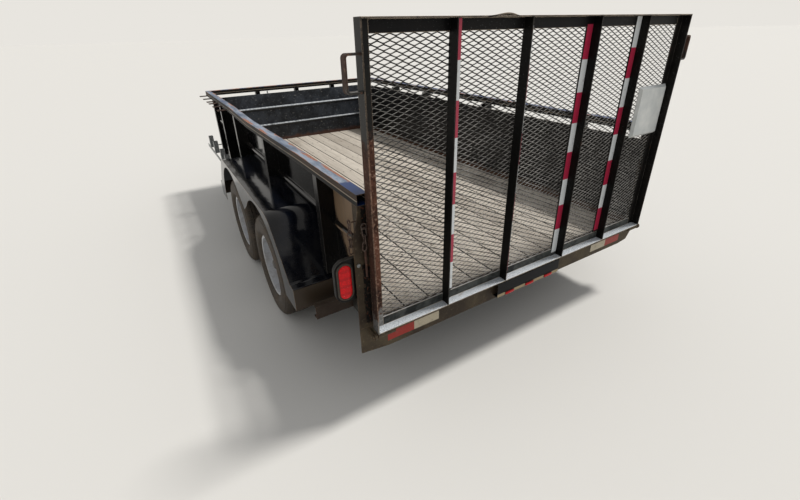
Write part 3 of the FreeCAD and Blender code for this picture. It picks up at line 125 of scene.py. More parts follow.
class Finish:
    """A material under construction; its colour is what the recipe has laid on so far."""

    def __init__(self, name, colour=None, ior=1.5, shine=0.5, **sockets):
        self.colour = colour
        self.material = bpy.data.materials.new(name)
        self.material.use_nodes = True
        self.tree = self.material.node_tree
        self.shader = self.tree.nodes["Principled BSDF"]
        self.shader.inputs["IOR"].default_value = ior
        self.shader.inputs["Specular IOR Level"].default_value = shine
        for key, value in sockets.items():
            self.shader.inputs[key.replace("_", " ").title()].default_value = value
        coordinates = self.add("TexCoord").outputs
        self.place = coordinates["Object"]
        self.x, self.y, self.z = self.add("SeparateXYZ", {0: self.place}).outputs
        facing = self.add("SeparateXYZ", {0: coordinates["Normal"]})
        self.facing_x, self.facing_y, self.facing_z = facing.outputs

    def add(self, kind, inputs=None, **settings):
        return add_node(self.tree, kind, inputs, **settings)

    def stretched(self, place, factors):
        """Coordinates, each multiplied: a pattern is long where its factor is small."""
        if factors is None:
            return place
        return self.add("VectorMath", {0: place, 1: factors}, operation="MULTIPLY").outputs[0]

    def noise(self, scale, detail=5.0, roughness=0.6, stretch=None, distortion=0.0, place=None):
        where = self.stretched(place or self.place, stretch)
        return self.add("TexNoise", {"Vector": where, "Scale": scale, "Detail": detail,
                                     "Roughness": roughness, "Distortion": distortion}).outputs[0]

    def cells(self, scale, stretch=None, output="Distance"):
        where = self.stretched(self.place, stretch)
        return self.add("TexVoronoi", {"Vector": where, "Scale": scale}).outputs[output]

    def between(self, value, low, high, start=0.0, end=1.0):
        """start below low, end above high, and a smooth step from one to the other."""
        return self.add("MapRange", {"Value": value, "From Min": low, "From Max": high, "To Min": start,
                                     "To Max": end}, interpolation_type="SMOOTHSTEP").outputs[0]

    def math(self, operation, a, b=0.0):
        return self.add("Math", {0: a, 1: b}, operation=operation).outputs[0]

    def times(self, a, b):
        return self.math("MULTIPLY", a, b)

    def plus(self, a, b):
        return self.math("ADD", a, b)

    def mix(self, first, second, amount, *steps):
        """Two colours, mixed by an amount, or by where a value lies between two steps."""
        amount = self.between(amount, *steps) if steps else amount
        return self.add("Mix", {0: amount, 6: first, 7: second}, data_type="RGBA").outputs[2]

    def layer(self, colour, amount, *steps):
        """Lay a colour over what is there."""
        self.colour = self.mix(self.colour, colour, amount, *steps)

    def edge_patches(self, colour, radius, value, *steps):
        """Lay a colour along the edges, in patches."""
        self.layer(colour, self.times(self.edges(radius), self.between(value, *steps)))

    def within(self, value, low, high, blur):
        """1 between low and high, with soft ends."""
        return self.times(self.between(value, low - blur, low + blur),
                          self.between(value, high + blur, high - blur))

    def ragged(self, value, amount, scale):
        """A value shaken by noise, so that a border drawn with it is uneven."""
        shake = self.math("SUBTRACT", self.noise(scale, 7.0, 0.7), 0.5)
        return self.plus(value, self.times(shake, amount))

    def edges(self, radius):
        """1 on edges and corners, 0 on flats: where a rounded normal leaves the true one."""
        rounded = self.add("Bevel", {"Radius": radius}, samples=4).outputs[0]
        true = self.add("NewGeometry").outputs["Normal"]
        along = self.add("VectorMath", {0: rounded, 1: true}, operation="DOT_PRODUCT").outputs["Value"]
        return self.between(along, 0.985, 0.86)

    def bump(self, height, distance, strength, soften=0.0):
        inputs = {"Height": height, "Distance": distance, "Strength": strength}
        if soften:
            inputs["Normal"] = self.add("Bevel", {"Radius": soften}, samples=4).outputs[0]
        join(self.tree, self.add("Bump", inputs).outputs[0], self.shader.inputs["Normal"])

    def done(self, roughness, metallic=None):
        join(self.tree, self.colour, self.shader.inputs["Base Color"])
        join(self.tree, roughness, self.shader.inputs["Roughness"])
        if metallic is not None:
            join(self.tree, metallic, self.shader.inputs["Metallic"])
        print(self.material.name, len(self.tree.nodes), "nodes")
        return self.material


# %% [markdown]
# Most of the trailer is black enamel, brushed on thick years ago. In the shade its sheets still
# mirror the ground, a film of dust turns them brown, their edges are rubbed to metal, and where
# paint has chipped there is rust. One recipe takes those amounts, so that sheets, frame and gate
# differ as the real ones do.

# %% Black enamel
def coat(f, base, gloss, dust, chips, scuffs):
    """Lay brushed enamel on a finish, with its bump; the roughness it leaves."""
    broad = f.noise(1.7, 4.0)
    blotch = f.noise(11.0, 8.0, 0.65)
    grit = f.noise(190.0, 3.0)
    edge = f.edges(0.003)
    up = f.between(f.facing_z, 0.2, 0.95, 0.15, 1.0)
    dust_film_and_painted_reflection = f.times(f.times(f.between(f.times(broad, blotch), 0.12, 0.42), up), dust)
    f.colour = f.mix(base, "8f8473", dust_film_and_painted_reflection)
    scratch = f.noise(5.0, 6.0, 0.75, (1.0, 46.0, 9.0), 1.2)
    marks = f.times(f.between(scratch, 0.66, 0.72), f.between(blotch, 0.5, 0.62))
    specks = f.times(f.between(grit, 0.66, 0.7), f.between(broad, 0.42, 0.6))
    f.layer("8a8b8c", f.times(f.math("MAXIMUM", marks, specks), scuffs))
    f.layer("75706a", f.times(edge, f.between(blotch, 0.38, 0.6, 0.1, 0.7)))
    flaked = f.between(f.plus(blotch, f.times(edge, 0.12)), 0.74 - chips, 0.77 - chips)
    f.layer(f.mix("35211a", "7a4930", grit, 0.4, 0.62), flaked)
    height = f.math("SUBTRACT", f.times(broad, 6.0), f.times(flaked, 0.5))
    f.bump(f.plus(height, f.times(grit, 0.08)), 0.001, 0.6, 0.002)
    return f.plus(f.between(dust_film_and_painted_reflection, 0.0, 0.5, gloss, 0.62), f.times(flaked, 0.4))


def enamel(name, base, gloss, dust, chips, scuffs, shine):
    f = Finish(name, shine=shine)
    return f.done(coat(f, base, gloss, dust, chips, scuffs))


black_post = enamel("black_post", "070708", 0.22, 0.12, 0.02, 0.4, 0.2)
black_frame = enamel("black_frame", "0c0b0b", 0.38, 0.5, 0.05, 0.6, 0.25)
black_bracket = enamel("black_bracket", "060606", 0.42, 0.08, 0.0, 0.25, 0.15)
black_gate = enamel("black_gate", "050505", 0.42, 0.12, 0.04, 0.35, 0.12)
brown_stub = enamel("brown_stub", "2c1f16", 0.5, 0.3, 0.12, 0.4, 0.2)

# %% Side sheets
# Mirror-black outside; by the left one's rear corner, a tan painted reflection of the ground.
sheet_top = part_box("side_sheet_left")[1].z
deck_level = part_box("deck_planks")[1].z
f = Finish("black_sheet", shine=0.25)
rough = coat(f, "060608", 0.08, 0.08, 0.0, 0.45)
side = f.times(f.y, f.facing_y)
inside = f.between(side, 0.05, -0.05)
outside_left = f.times(f.between(side, 0.90, 0.94), f.between(f.y, 0.0, 0.1))
slope = f.plus(f.z, f.times(f.x, -1.6))
rear = f.times(f.between(f.ragged(slope, 0.12, 16.0), 4.15, 4.25), f.between(f.x, -2.05, -2.07))
streak = f.noise(9.0, 6.0, 0.7, (3.0, 1.0, 0.5))
# painted reflection: the ground's tan, mirrored in the left sheet by its rear corner
dust_film_and_painted_reflection = f.times(f.times(rear, outside_left), f.between(streak, 0.30, 0.55, 0.55, 0.95))
f.layer("7d6852", dust_film_and_painted_reflection)
foot = f.times(f.between(f.ragged(f.z, 0.10, 9.0), deck_level + 0.05, deck_level + 0.01), inside)
f.layer("5b4030", f.times(foot, 0.75))
edge = f.between(f.z, sheet_top - 0.004, sheet_top - 0.002)
f.layer("b9b2a6", f.times(edge, f.between(f.noise(18.0, 6.0, 0.7), 0.34, 0.5)))
dull = f.plus(f.times(inside, 0.3), f.times(f.plus(foot, dust_film_and_painted_reflection), 0.4))
black_sheet = f.done(f.plus(rough, dull))

# %% Fenders
# Clean navy-black gloss, a rubbed lip round the arches and a dusty tan rear wall.
fender_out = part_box("fender_left")[1].y
f = Finish("black_fender", shine=0.25)
rough = coat(f, "040912", 0.08, 0.05, -0.03, 0.15)
wall = f.times(f.between(f.facing_x, -0.6, -0.9), f.between(f.z, 0.53, 0.515))
f.layer("3d3226", f.times(wall, 0.9))
outside = f.between(f.math("ABSOLUTE", f.y), fender_out - 0.006, fender_out - 0.002)
f.layer("8d765a", f.times(f.times(f.edges(0.004), outside), 0.9))
black_fender = f.done(f.plus(rough, f.times(wall, 0.35)))

# %% [markdown]
# Some steel has lost its paint: the left gate upright and the chain are brown with rust, the
# top rails are worn to dull steel, and the ramp's bottom bar is rubbed bright. These read as
# bare or rusted metal with scraps of black left on it.

# %% Light bar
# Navy-black, with a cream dusty strip along its foot where the lamps sit.
bar_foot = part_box("light_bar")[0].z
f = Finish("navy_bar", shine=0.1)
rough = coat(f, "04070d", 0.3, 0.05, 0.0, 0.3)
foot = f.times(f.between(f.facing_x, -0.6, -0.9), f.between(f.z, bar_foot + 0.020, bar_foot + 0.018))
f.layer(f.mix("8a795d", "b9a98a", f.noise(60.0, 5.0, 0.7)), foot)
navy_bar = f.done(f.plus(rough, f.times(foot, 0.35)))

# %% Catches and chain
def rusted(name, paint_left, dark, warm):
    """Rust all over, in two tones, with scraps of black paint left on it."""
    f = Finish(name, ior=1.45)
    streak = f.noise(7.0, 8.0, 0.7, (1.0, 1.0, 0.22))
    flake = f.noise(60.0, 6.0, 0.7)
    f.colour = f.mix(dark, warm, streak, 0.35, 0.65)
    f.layer("94694a", flake, 0.56, 0.7, 0.0, 0.7)
    scraps = f.between(f.noise(9.0, 7.0, 0.6, (1.0, 1.0, 0.4)), 0.62 - paint_left, 0.66 - paint_left)
    f.layer("14120f", scraps)
    f.edge_patches("8a7f74", 0.004, flake, 0.42, 0.6, 0.1, 0.6)
    f.bump(f.plus(flake, f.times(scraps, 0.8)), 0.0008, 0.7, 0.002)
    return f.done(f.between(scraps, 0.0, 1.0, 0.8, 0.4))


rusty_catch = rusted("rusty_catch", 0.10, "1d1512", "4d3326")
rusty_chain = rusted("rusty_chain", -0.1, "170e0a", "44291d")

# %% Gate uprights
# The left one is black at the top, rust-brown below and bare grey at its foot, with painted shade on its
# outward face and worn rims lightened by a painted highlight; the right is black.
f = Finish("rusty_upright", ior=1.45, shine=0.2)
coat(f, "070707", 0.4, 0.15, 0.04, 0.4)
streak = f.noise(6.0, 8.0, 0.75, (1.0, 1.0, 0.5))
flake = f.noise(75.0, 6.0, 0.7)
rust = f.mix("2a1a13", "694536", streak, 0.38, 0.60)
rust = f.mix(rust, "a58572", flake, 0.56, 0.64, 0.0, 0.85)
rust = f.mix(rust, "15100d", flake, 0.46, 0.38, 0.0, 0.85)
grey = f.mix("6f6f6d", "96948f", flake, 0.4, 0.6)
height = f.ragged(f.z, 0.55, 6.0)
rust = f.mix(rust, grey, height, 0.60, 0.56)
# painted shade: the left upright's outward face darkened
rust = f.mix(rust, "1b120e", f.facing_y, 0.3, 0.8, 0.0, 0.62)
left = f.between(f.y, -0.1, 0.1)
amount = f.times(f.between(height, 1.42, 1.30), left)
f.layer(rust, amount)
# worn rim, lightened also as a painted highlight
rim = f.times(f.edges(0.004), f.between(flake, 0.40, 0.58, 0.3, 0.95))
f.layer("a8937e", f.times(rim, left))
rusty_upright = f.done(f.between(amount, 0.0, 1.0, 0.4, 0.78))

# %% Gate crossbars
# Black; the lower bar is worn to salt-and-pepper steel on top, and its upright leg is dark; the bars' worn
# edges carry a painted highlight.
f = Finish("bar_steel", ior=1.45, shine=0.15)
rough = coat(f, "07070a", 0.42, 0.12, 0.03, 0.5)
salt = f.noise(260.0, 4.0, 0.75)
cloud = f.noise(12.0, 6.0, 0.65)
bright = f.mix("8b9093", "e2e5e6", salt, 0.40, 0.56)
bright = f.mix(bright, "93826d", cloud, 0.60, 0.72, 0.0, 0.6)
leg = f.mix("232524", "4c4e4b", cloud, 0.38, 0.62)
leg = f.mix(leg, "6d6f6e", salt, 0.58, 0.66, 0.0, 0.5)
low = f.between(f.z, 0.62, 0.58)
f.layer(f.mix(leg, bright, f.facing_z, 0.6, 0.9), low)
# worn edges, lightened as a painted highlight of the rims
f.edge_patches("dcc9b2", 0.004, cloud, 0.30, 0.55, 0.4, 1.0)
bar_steel = f.done(f.plus(rough, f.times(low, 0.15)))

# %% Sill and corner plates
# Olive-brown dust over old paint; the corner plates are darker as painted shade, and a black band with rust
# flecks by the gate is painted shadow.
rail_outer = -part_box("top_rail_right")[0].y
post_inner = rail_outer - 0.050
f = Finish("dusty_sill", ior=1.45, shine=0.15)
cloud = f.noise(6.0, 7.0, 0.65)
flake = f.noise(70.0, 7.0, 0.7)
# painted shade: the corner plates darker than the sill below them
plate = f.between(f.z, 0.46, 0.56, 0.0, 0.75)
sill = f.mix("352c23", "544a3a", cloud, 0.36, 0.66)
f.colour = f.mix(sill, f.mix("231a14", "3d3327", cloud, 0.40, 0.60), plate)
f.layer("85765f", flake, 0.60, 0.66, 0.0, 0.7)
f.layer("2a1a12", flake, 0.40, 0.33, 0.0, 0.8)
across = f.math("ABSOLUTE", f.ragged(f.y, 0.030, 34.0))
height = f.ragged(f.z, 0.09, 17.0)
# painted shadow: a black band on the corner posts beside the gate, with rust flecks in it
bare_metal_and_painted_shadow = f.times(f.within(across, post_inner - 0.02, post_inner + 0.045, 0.003),
               f.within(height, 0.53, 0.83, 0.008))
top = f.times(f.within(across, post_inner - 0.01, post_inner + 0.036, 0.004), f.between(height, 0.95, 0.97))
painted_shadow_band = f.times(f.math("MAXIMUM", bare_metal_and_painted_shadow, top), f.between(f.noise(48.0, 6.0, 0.7), 0.36, 0.44))
shadow_and_rust_flecks = f.mix("090807", "5d3524", flake, 0.56, 0.62)
shadow_and_rust_flecks = f.mix(shadow_and_rust_flecks, "8b8074", flake, 0.66, 0.70)
f.layer(shadow_and_rust_flecks, painted_shadow_band)
f.edge_patches("7d5f46", 0.003, flake, 0.42, 0.56, 0.1, 0.8)
f.bump(f.plus(flake, f.times(painted_shadow_band, -1.5)), 0.0006, 0.7, 0.002)
dusty_sill = f.done(f.between(cloud, 0.3, 0.7, 0.45, 0.65))

# %% Top rails
REAR_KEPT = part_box("top_rail_left")[0].x + 0.15     # the paint is left on the rails' rear ends
# the bright line along the rails' sides is scuffed paint and a painted highlight of their lower edge
LINE_Z = 1.123                                      # bright scuffed line along the rails' sides


def worn_top_rail(name, wear, side_paint):
    """Painted sides over a bright lower line, of scuffs and a painted highlight; the top is navy as a
    painted sky reflection, worn to blue-grey steel, rusty inwards.
    """
    f = Finish(name, shine=0.2)
    blotch = f.noise(14.0, 8.0, 0.7, (0.25, 1.0, 1.0))
    fine = f.noise(120.0, 5.0, 0.7)
    top = f.between(f.facing_z, 0.6, 0.9)
    rear_end = f.between(f.ragged(f.x, 0.08, 12.0), REAR_KEPT, REAR_KEPT + 0.02)
    worn = f.times(f.times(top, rear_end), f.between(blotch, 0.62 - wear, 0.72 - wear))
    steel = f.mix("566274", "949eac", blotch, 0.38, 0.62)
    steel = f.mix(steel, "333a48", fine, 0.5, 0.7, 0.0, 0.6)
    rust = f.mix("7d4a34", "b88066", fine, 0.4, 0.65)
    inward = f.math("SUBTRACT", rail_outer, f.math("ABSOLUTE", f.y))
    inner_edge = f.between(inward, 0.018, 0.046, 0.0, 0.16)
    outer_edge = f.between(inward, 0.008, 0.0, 0.0, 0.12)
    rusty = f.between(f.plus(f.plus(inner_edge, outer_edge), blotch), 0.62, 0.68)
    bare_metal_and_painted_shadow = f.mix(steel, rust, rusty)
    brown = f.mix("120d0a", side_paint, blotch, 0.42, 0.60)
    # painted highlight, with scuffs: the bright line along the sides
    line = f.times(f.within(f.z, LINE_Z - 0.002, LINE_Z + 0.002, 0.0008),
                   f.between(blotch, 0.34, 0.46, 0.3, 0.9))
    side = f.mix("070708", brown, f.z, LINE_Z - 0.001, LINE_Z)
    side = f.mix(side, "a39684", line)
    # painted reflection: the tops' remaining paint is navy with the sky
    f.colour = f.mix(f.mix(side, "12305f", top), bare_metal_and_painted_shadow, worn)
    f.edge_patches("7b6d5d", 0.003, fine, 0.35, 0.6, 0.2, 0.9)
    f.bump(f.plus(fine, f.times(blotch, 2.0)), 0.0006, 0.5, 0.003)
    rough = f.plus(f.between(top, 0.0, 1.0, 0.6, 0.4), f.times(worn, 0.15))
    return f.done(rough, f.times(worn, 0.3))


worn_rail = worn_top_rail("worn_rail", 0.30, "3d2f24")
kept_rail = worn_top_rail("kept_rail", 0.16, "15120f")

# %% Front wall
# Slate-grey where loads have scoured the sheet, with rust along the deck.
f = Finish("slate_front", shine=0.25)
rough = coat(f, "0f1217", 0.5, 0.3, 0.02, 1.0)
f.layer("555b64", f.noise(4.0, 8.0, 0.75), 0.38, 0.64, 0.1, 0.65)
f.layer("b8b6b0", f.noise(85.0, 5.0, 0.75, (1.0, 0.4, 1.0)), 0.61, 0.66, 0.0, 0.8)
foot = f.between(f.ragged(f.z, 0.10, 9.0), deck_level + 0.045, deck_level + 0.005)
inside = f.between(f.facing_x, -0.3, -0.7)
f.layer("63402f", f.times(f.times(foot, inside), 0.7))
slate_front = f.done(f.plus(rough, 0.1))

# %% Rub rails
# Half-round rails on the front sheet, light silver in patches along their up-facing tops.
f = Finish("silver_ridge", shine=0.4)
rough = coat(f, "14161a", 0.4, 0.3, 0.02, 0.8)
crest = f.between(f.facing_z, 0.1, 0.6)
worn = f.times(crest, f.between(f.noise(7.0, 6.0, 0.7), 0.30, 0.44))
f.layer(f.mix("8f9499", "d0d2d1", f.noise(40.0, 6.0, 0.7), 0.4, 0.6), worn)
silver_ridge = f.done(rough)

# %% Bare steel
def bare_steel(name, light, dark, metallic, speckle):
    f = Finish(name, metallic=metallic)
    spangle = f.add("SeparateXYZ", {0: f.cells(90.0, output="Color")}).outputs[0]
    pits = f.noise(70.0, 6.0, 0.75)
    patch = f.noise(6.0, 6.0)
    f.colour = f.mix(light, dark, spangle, 0.2, 0.9)
    f.layer("33302d", pits, 0.56, 0.62, 0.0, speckle)
    f.layer("6f5443", patch, 0.58, 0.72, 0.0, speckle)
    f.bump(f.plus(pits, f.times(patch, 0.5)), 0.0006, 0.5, 0.002)
    return f.done(f.between(patch, 0.3, 0.7, 0.38, 0.6))


zinc = bare_steel("zinc", "9a9c9c", "7d8080", 0.6, 0.3)
cast_metal = bare_steel("cast_metal", "55534f", "403e3b", 0.3, 0.6)

# %% [markdown]
# The wheels are steel rims sprayed silver, in trailer tyres gone brown with road dust. Lamps
# have red moulded lenses in rubber rings. The blank plate on the gate is grey-white, with short
# upright scratches.

# %% Rubber
def rubber(name, base, dust):
    f = Finish(name, ior=1.45)
    cloud = f.noise(13.0, 6.0, 0.65)
    fine = f.noise(160.0, 4.0)
    f.colour = f.mix(base, "7c6b58", cloud, 0.35, 0.7, 0.1, dust)
    f.layer("9c8d78", fine, 0.55, 0.7, 0.0, 0.25)
    f.bump(fine, 0.0004, 0.5)
    return f.done(f.between(cloud, 0.3, 0.7, 0.6, 0.85))


tyre_rubber = rubber("tyre_rubber", "12100e", 0.30)
lamp_rubber = rubber("lamp_rubber", "141312", 0.22)

# %% Rims
f = Finish("rim_paint", metallic=0.35)
cloud = f.noise(16.0, 7.0, 0.65)
fine = f.noise(150.0, 4.0)
f.colour = f.mix("bfc1c4", "6f5f4e", cloud, 0.42, 0.72, 0.0, 0.45)
f.edge_patches("5d4332", 0.004, fine, 0.5, 0.62)
f.bump(fine, 0.0003, 0.4, 0.002)
rim_paint = f.done(f.between(cloud, 0.3, 0.7, 0.3, 0.55))

# %% Lenses
# Clear red plastic with moulded cells behind its face; small light spots over it are painted glints.
f = Finish("red_lens", ior=1.4, shine=0.25, coat_weight=0.12, coat_roughness=0.06)
cube = f.cells(260.0, (1.0, 1.0, 0.6))
f.colour = f.mix("ff0f1e", "c4020e", cube, 0.05, 0.5)
f.layer("7d030b", f.math("SINE", f.times(f.z, 170.0)), 0.2, 0.9, 0.0, 0.35)
# painted glints: small light spots over the lens
f.layer("f2c9c4", f.noise(150.0, 2.0, 0.5), 0.735, 0.75)
f.bump(cube, 0.0008, 0.5)
red_lens = f.done(0.3)

# %% Blank plate
f = Finish("grey_plate")
cloud = f.noise(9.0, 6.0)
f.colour = f.mix("b9bcba", "cfd0cc", cloud, 0.35, 0.7)
f.layer("4f4f4e", f.noise(34.0, 3.0, 0.5, (1.0, 3.0, 0.6)), 0.71, 0.74, 0.0, 0.75)
f.edge_patches("8d8578", 0.004, f.noise(50.0), 0.4, 0.6, 0.1, 0.7)
f.bump(cloud, 0.0015, 0.5, 0.002)
grey_plate = f.done(0.42)

# %% Strands of the expanded metal
# Old black paint; the strands' up-facing faces are light grey: scuffed steel and dust, with a painted
# highlight.
f = Finish("mesh_steel", shine=0.15)
cloud = f.noise(5.0, 6.0, 0.7)
fine = f.noise(90.0, 5.0, 0.7)
scuffed_and_highlit = f.mix("4b4845", "c2bdb4", fine, 0.36, 0.56)
scuffed_and_highlit = f.mix(scuffed_and_highlit, "3c261d", fine, 0.34, 0.26, 0.0, 0.8)
# up-facing faces lightened: scuffs and dust, and a painted highlight
amount = f.times(f.between(f.facing_z, 0.66, 0.76), f.between(cloud, 0.34, 0.56, 0.35, 1.0))
f.colour = f.mix("080707", scuffed_and_highlit, amount)
mesh_steel = f.done(0.5)

# %% Tape
def reflective(name, base, streaks, gloss=0.5):
    """Prismatic tape: a fine cell pattern under a glossy film, with dust along it."""
    f = Finish(name, shine=0.3, coat_weight=gloss, coat_roughness=0.25)
    f.colour = f.mix(base, streaks, f.cells(420.0), 0.15, 0.6)
    f.layer("5c5148", f.noise(24.0, 6.0, 0.7), 0.54, 0.72, 0.0, 0.4)
    return f.done(0.4)


tape_red = reflective("tape_red", "cf2c4a", "a82243")
tape_white = reflective("tape_white", "eef0f0", "dcdfdf")
dull_red = reflective("dull_red", "ac2f22", "8e2116", 0.0)
dull_white = reflective("dull_white", "c6bda6", "aba089", 0.0)

# %% [markdown]
# The deck is of two-inch planks, grey-beige from the sun, with dark seams, open grain and rusty
# dirt. Each needs its own shade, so the finish reads a plank's number from its place across the
# bed, divided by the pitch and rounded down.

# %% Weathered planks
deck_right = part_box("deck_planks")[0].y
PLANK_PITCH = 0.1472         # a board and the gap beside it
f = Finish("deck_wood", ior=1.4)
across = f.math("DIVIDE", f.math("SUBTRACT", f.y, deck_right), PLANK_PITCH)
own = f.add("TexWhiteNoise", {"W": f.math("FLOOR", across)}, noise_dimensions="1D").outputs["Value"]
shift = f.add("CombineXYZ", {0: f.times(own, 7.0)}).outputs[0]
moved = f.add("VectorMath", {0: f.place, 1: shift}, operation="ADD").outputs[0]
grain = f.noise(1.0, 9.0, 0.65, (1.1, 30.0, 30.0), 0.6, moved)
fine = f.noise(1.0, 4.0, 0.5, (4.0, 190.0, 190.0), 0.0, moved)
cloud = f.noise(2.1, 6.0, 0.6)
f.colour = f.mix("b5aa9b", "d2c7b7", own)
f.layer("9c9081", grain, 0.42, 0.68, 0.0, 0.45)
f.layer("655b4e", fine, 0.56, 0.72, 0.0, 0.55)
f.layer("d6cdb9", fine, 0.28, 0.42, 0.4, 0.0)
f.layer("7a6856", cloud, 0.52, 0.72, 0.0, 0.4)
f.layer("4b3a2c", f.cells(1.0, (2.3, 14.0, 14.0)), 0.10, 0.05, 0.0, 0.7)
# painted shade: the planks' sides, down in the seams, darkened nearly black
f.layer("1c1712", f.facing_z, 0.75, 0.3)
f.bump(f.plus(f.times(grain, 1.5), fine), 0.0012, 0.8)
deck_wood = f.done(0.82)

# %% [markdown]
# Every piece from the frame gets its finish. The table goes by finish, as a painter would walk
# round the trailer.

# %% Finish the pieces from the frame
wheels = ("rear_left", "rear_right", "front_left", "front_right")
NODE_FINISHES = (
    (black_sheet, "side_sheet_left side_sheet_right"),
    (black_post, "side_posts front_posts"),
    (black_fender, "fender_left fender_right"),
    (slate_front, "front_sheet"),
    (silver_ridge, "front_rub_rails"),
    (black_frame, "frame_rails front_sill crossmembers tongue_beams coupler axles leaf_springs"
                  " spring_hangers equalisers backing_plates"),
    (black_bracket, "tail_lamp_brackets"),
    (navy_bar, "light_bar"),
    (brown_stub, "rear_outriggers"),
    (black_gate, "gate_ribs gate_mesh"),
    (rusty_upright, "gate_uprights"),
    (bar_steel, "gate_crossbars"),
    (dusty_sill, "rear_sill corner_posts hinge_lugs gate_pins"),
    (rusty_catch, "gate_catches"),
    (rusty_chain, "latch_chains tool_rack_hooks"),
    (worn_rail, "top_rail_left"),
    (kept_rail, "top_rail_right front_rail"),
    (zinc, "jack_body jack_leg jack_crank coupler_latch tool_rack_sockets"),
    (cast_metal, " ".join("hub_" + wheel for wheel in wheels)),
    (rim_paint, " ".join("rim_" + wheel for wheel in wheels)),
    (tyre_rubber, " ".join("tyre_" + wheel for wheel in wheels)),
    (lamp_rubber, "lamp_grommets"),
    (red_lens, "lamp_lenses"),
    (grey_plate, "gate_plate"),
    (deck_wood, "deck_planks"),
)

finished = set()
for finish, names in NODE_FINISHES:
    for name in names.split():
        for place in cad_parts[name].material_slots:
            place.material = finish
        finished.add(name)
print("without a finish:", sorted(set(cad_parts) - finished))

# %% [markdown]
# What follows is added to the frame's pieces. Each piece is built in place, so that its origin
# is the trailer's, and is told which body it rides on. Small helpers do most of the work: a
# block with eased edges, a section spun round an axis, a face pushed along a line, and a round
# shape whose halves are pulled apart, which turns a ring into a chain link and a disc into a slot.

# %% Helpers for pieces
def piece(name, shape, body, finishes, smooth=True):
    """Turn a bmesh into an object that rides on a body, with its finishes in order."""
    bmesh.ops.recalc_face_normals(shape, faces=shape.faces)
    mesh = bpy.data.meshes.new(name)
    shape.to_mesh(mesh)
    shape.free()
    for finish in finishes:
        mesh.materials.append(finish)
    if smooth:
        mesh.shade_smooth()
        mesh.set_sharp_from_angle(angle=math.radians(35))
    made = in_scene(name, mesh)
    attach(made, body)
    print(name, len(mesh.polygons), "faces")
    return made


def block(shape, low, high, round_by=0.0, finish=0):
    """A box between two corners, its edges rounded; the box's corners."""
    low = Vector(low)
    high = Vector(high)
    place = Matrix.Translation((low + high) / 2) @ Matrix.Diagonal((*(high - low), 1.0))
    corners = bmesh.ops.create_cube(shape, size=1.0, matrix=place)["verts"]
    for face in {face for vert in corners for face in vert.link_faces}:
        face.material_index = finish
    if round_by:
        edges = list(dict.fromkeys(edge for vert in corners for edge in vert.link_edges))
        bmesh.ops.bevel(shape, geom=edges, offset=round_by, segments=2, profile=0.5, affect="EDGES",
                        material=-1)
    return corners


def spun(shape, section, centre, axis, start, steps):
    """A closed section of (out, along) points, spun once round an axis; the corners it made."""
    known = set(shape.verts)
    corners = [shape.verts.new(centre + start * out + axis * along) for out, along in section]
    edges = [shape.edges.new((corners[i - 1], corners[i])) for i in range(len(corners))]
    bmesh.ops.spin(shape, geom=corners + edges, cent=centre, axis=axis, angle=2 * math.pi, steps=steps,
                   use_merge=True)
    return [vert for vert in shape.verts if vert not in known]


def pull_apart(shape, corners, centre, way, amount):
    """Move each half of a round shape outwards along a direction."""
    for sign in (1, -1):
        half = [vert for vert in corners if (vert.co - centre).dot(way) * sign > 0]
        bmesh.ops.translate(shape, vec=way * (sign * amount), verts=half)


def pushed(shape, face, step):
    """Extrude a face along a vector; the face at the new end."""
    made = bmesh.ops.extrude_face_region(shape, geom=[face])["geom"]
    end = next(item for item in made if isinstance(item, bmesh.types.BMFace))
    bmesh.ops.translate(shape, vec=step, verts=list(end.verts))
    end.normal_update()
    return end


def facing(spot, way):
    """The matrix that puts a shape at a spot and turns its z axis along a direction."""
    return Matrix.Translation(spot) @ way.to_track_quat("Z", "Y").to_matrix().to_4x4()


def disc(shape, spot, way, radius, sides):
    """A flat round face at a spot, looking along a direction."""
    ring = bmesh.ops.create_circle(shape, cap_ends=True, segments=sides, radius=radius,
                                   matrix=facing(spot, way))
    return ring["verts"][0].link_faces[0]


X = Vector((1, 0, 0))
Y = Vector((0, 1, 0))
Z = Vector((0, 0, 1))

# %% [markdown]
# A node can hold several solids, such as the side posts or the gate's ribs. Bolts and welds
# need their places. They are read from a copy of the node's mesh, in which walking from corner
# to corner over the edges finds what hangs together.

# %% Solids of a node
def solids(name):
    """Lowest and highest corner of each separate solid of a node, from the rear forwards."""
    copy = bmesh.new()
    copy.from_mesh(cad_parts[name].data)
    bmesh.ops.remove_doubles(copy, verts=copy.verts, dist=0.00001)
    boxes = []
    left = set(copy.verts)
    while left:
        reached = [left.pop()]
        group = []
        while reached:
            vert = reached.pop()
            group.append(tuple(vert.co))
            near = {edge.other_vert(vert) for edge in vert.link_edges} & left
            left -= near
            reached.extend(near)
        boxes.append((Vector(map(min, zip(*group))), Vector(map(max, zip(*group)))))
    copy.free()
    return sorted(boxes, key=lambda box: tuple(box[0]))


ribs = solids("gate_ribs")
boards = solids("deck_planks")
members = solids("crossmembers")
posts = solids("side_posts")
print("ribs", len(ribs), "boards", len(boards), "crossmembers", len(members), "posts", len(posts))

# %% [markdown]
# The gate is filled with raised expanded metal: a sheet is slit and pulled, so that its strands
# zigzag along the gate and each is bonded to the next at every peak. A strand is a tilted
# rectangle pushed along its zigzag, step by step. Two strands, half a diamond apart, make the
# unit that an array repeats up the gate.

# %% Expanded metal
mesh_low, mesh_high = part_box("gate_mesh")
LONG_WAY = 0.0508
SHORT_WAY = 0.0234
STRAND_WIDE = 0.0042
STRAND_THICK = 0.0030
STRAND_TILT = math.radians(38)
BOND_HALF = 0.0022           # half of a bond's length along the gate
MESH_INSET = 0.0028          # from the mesh's rear face to the strands' middle

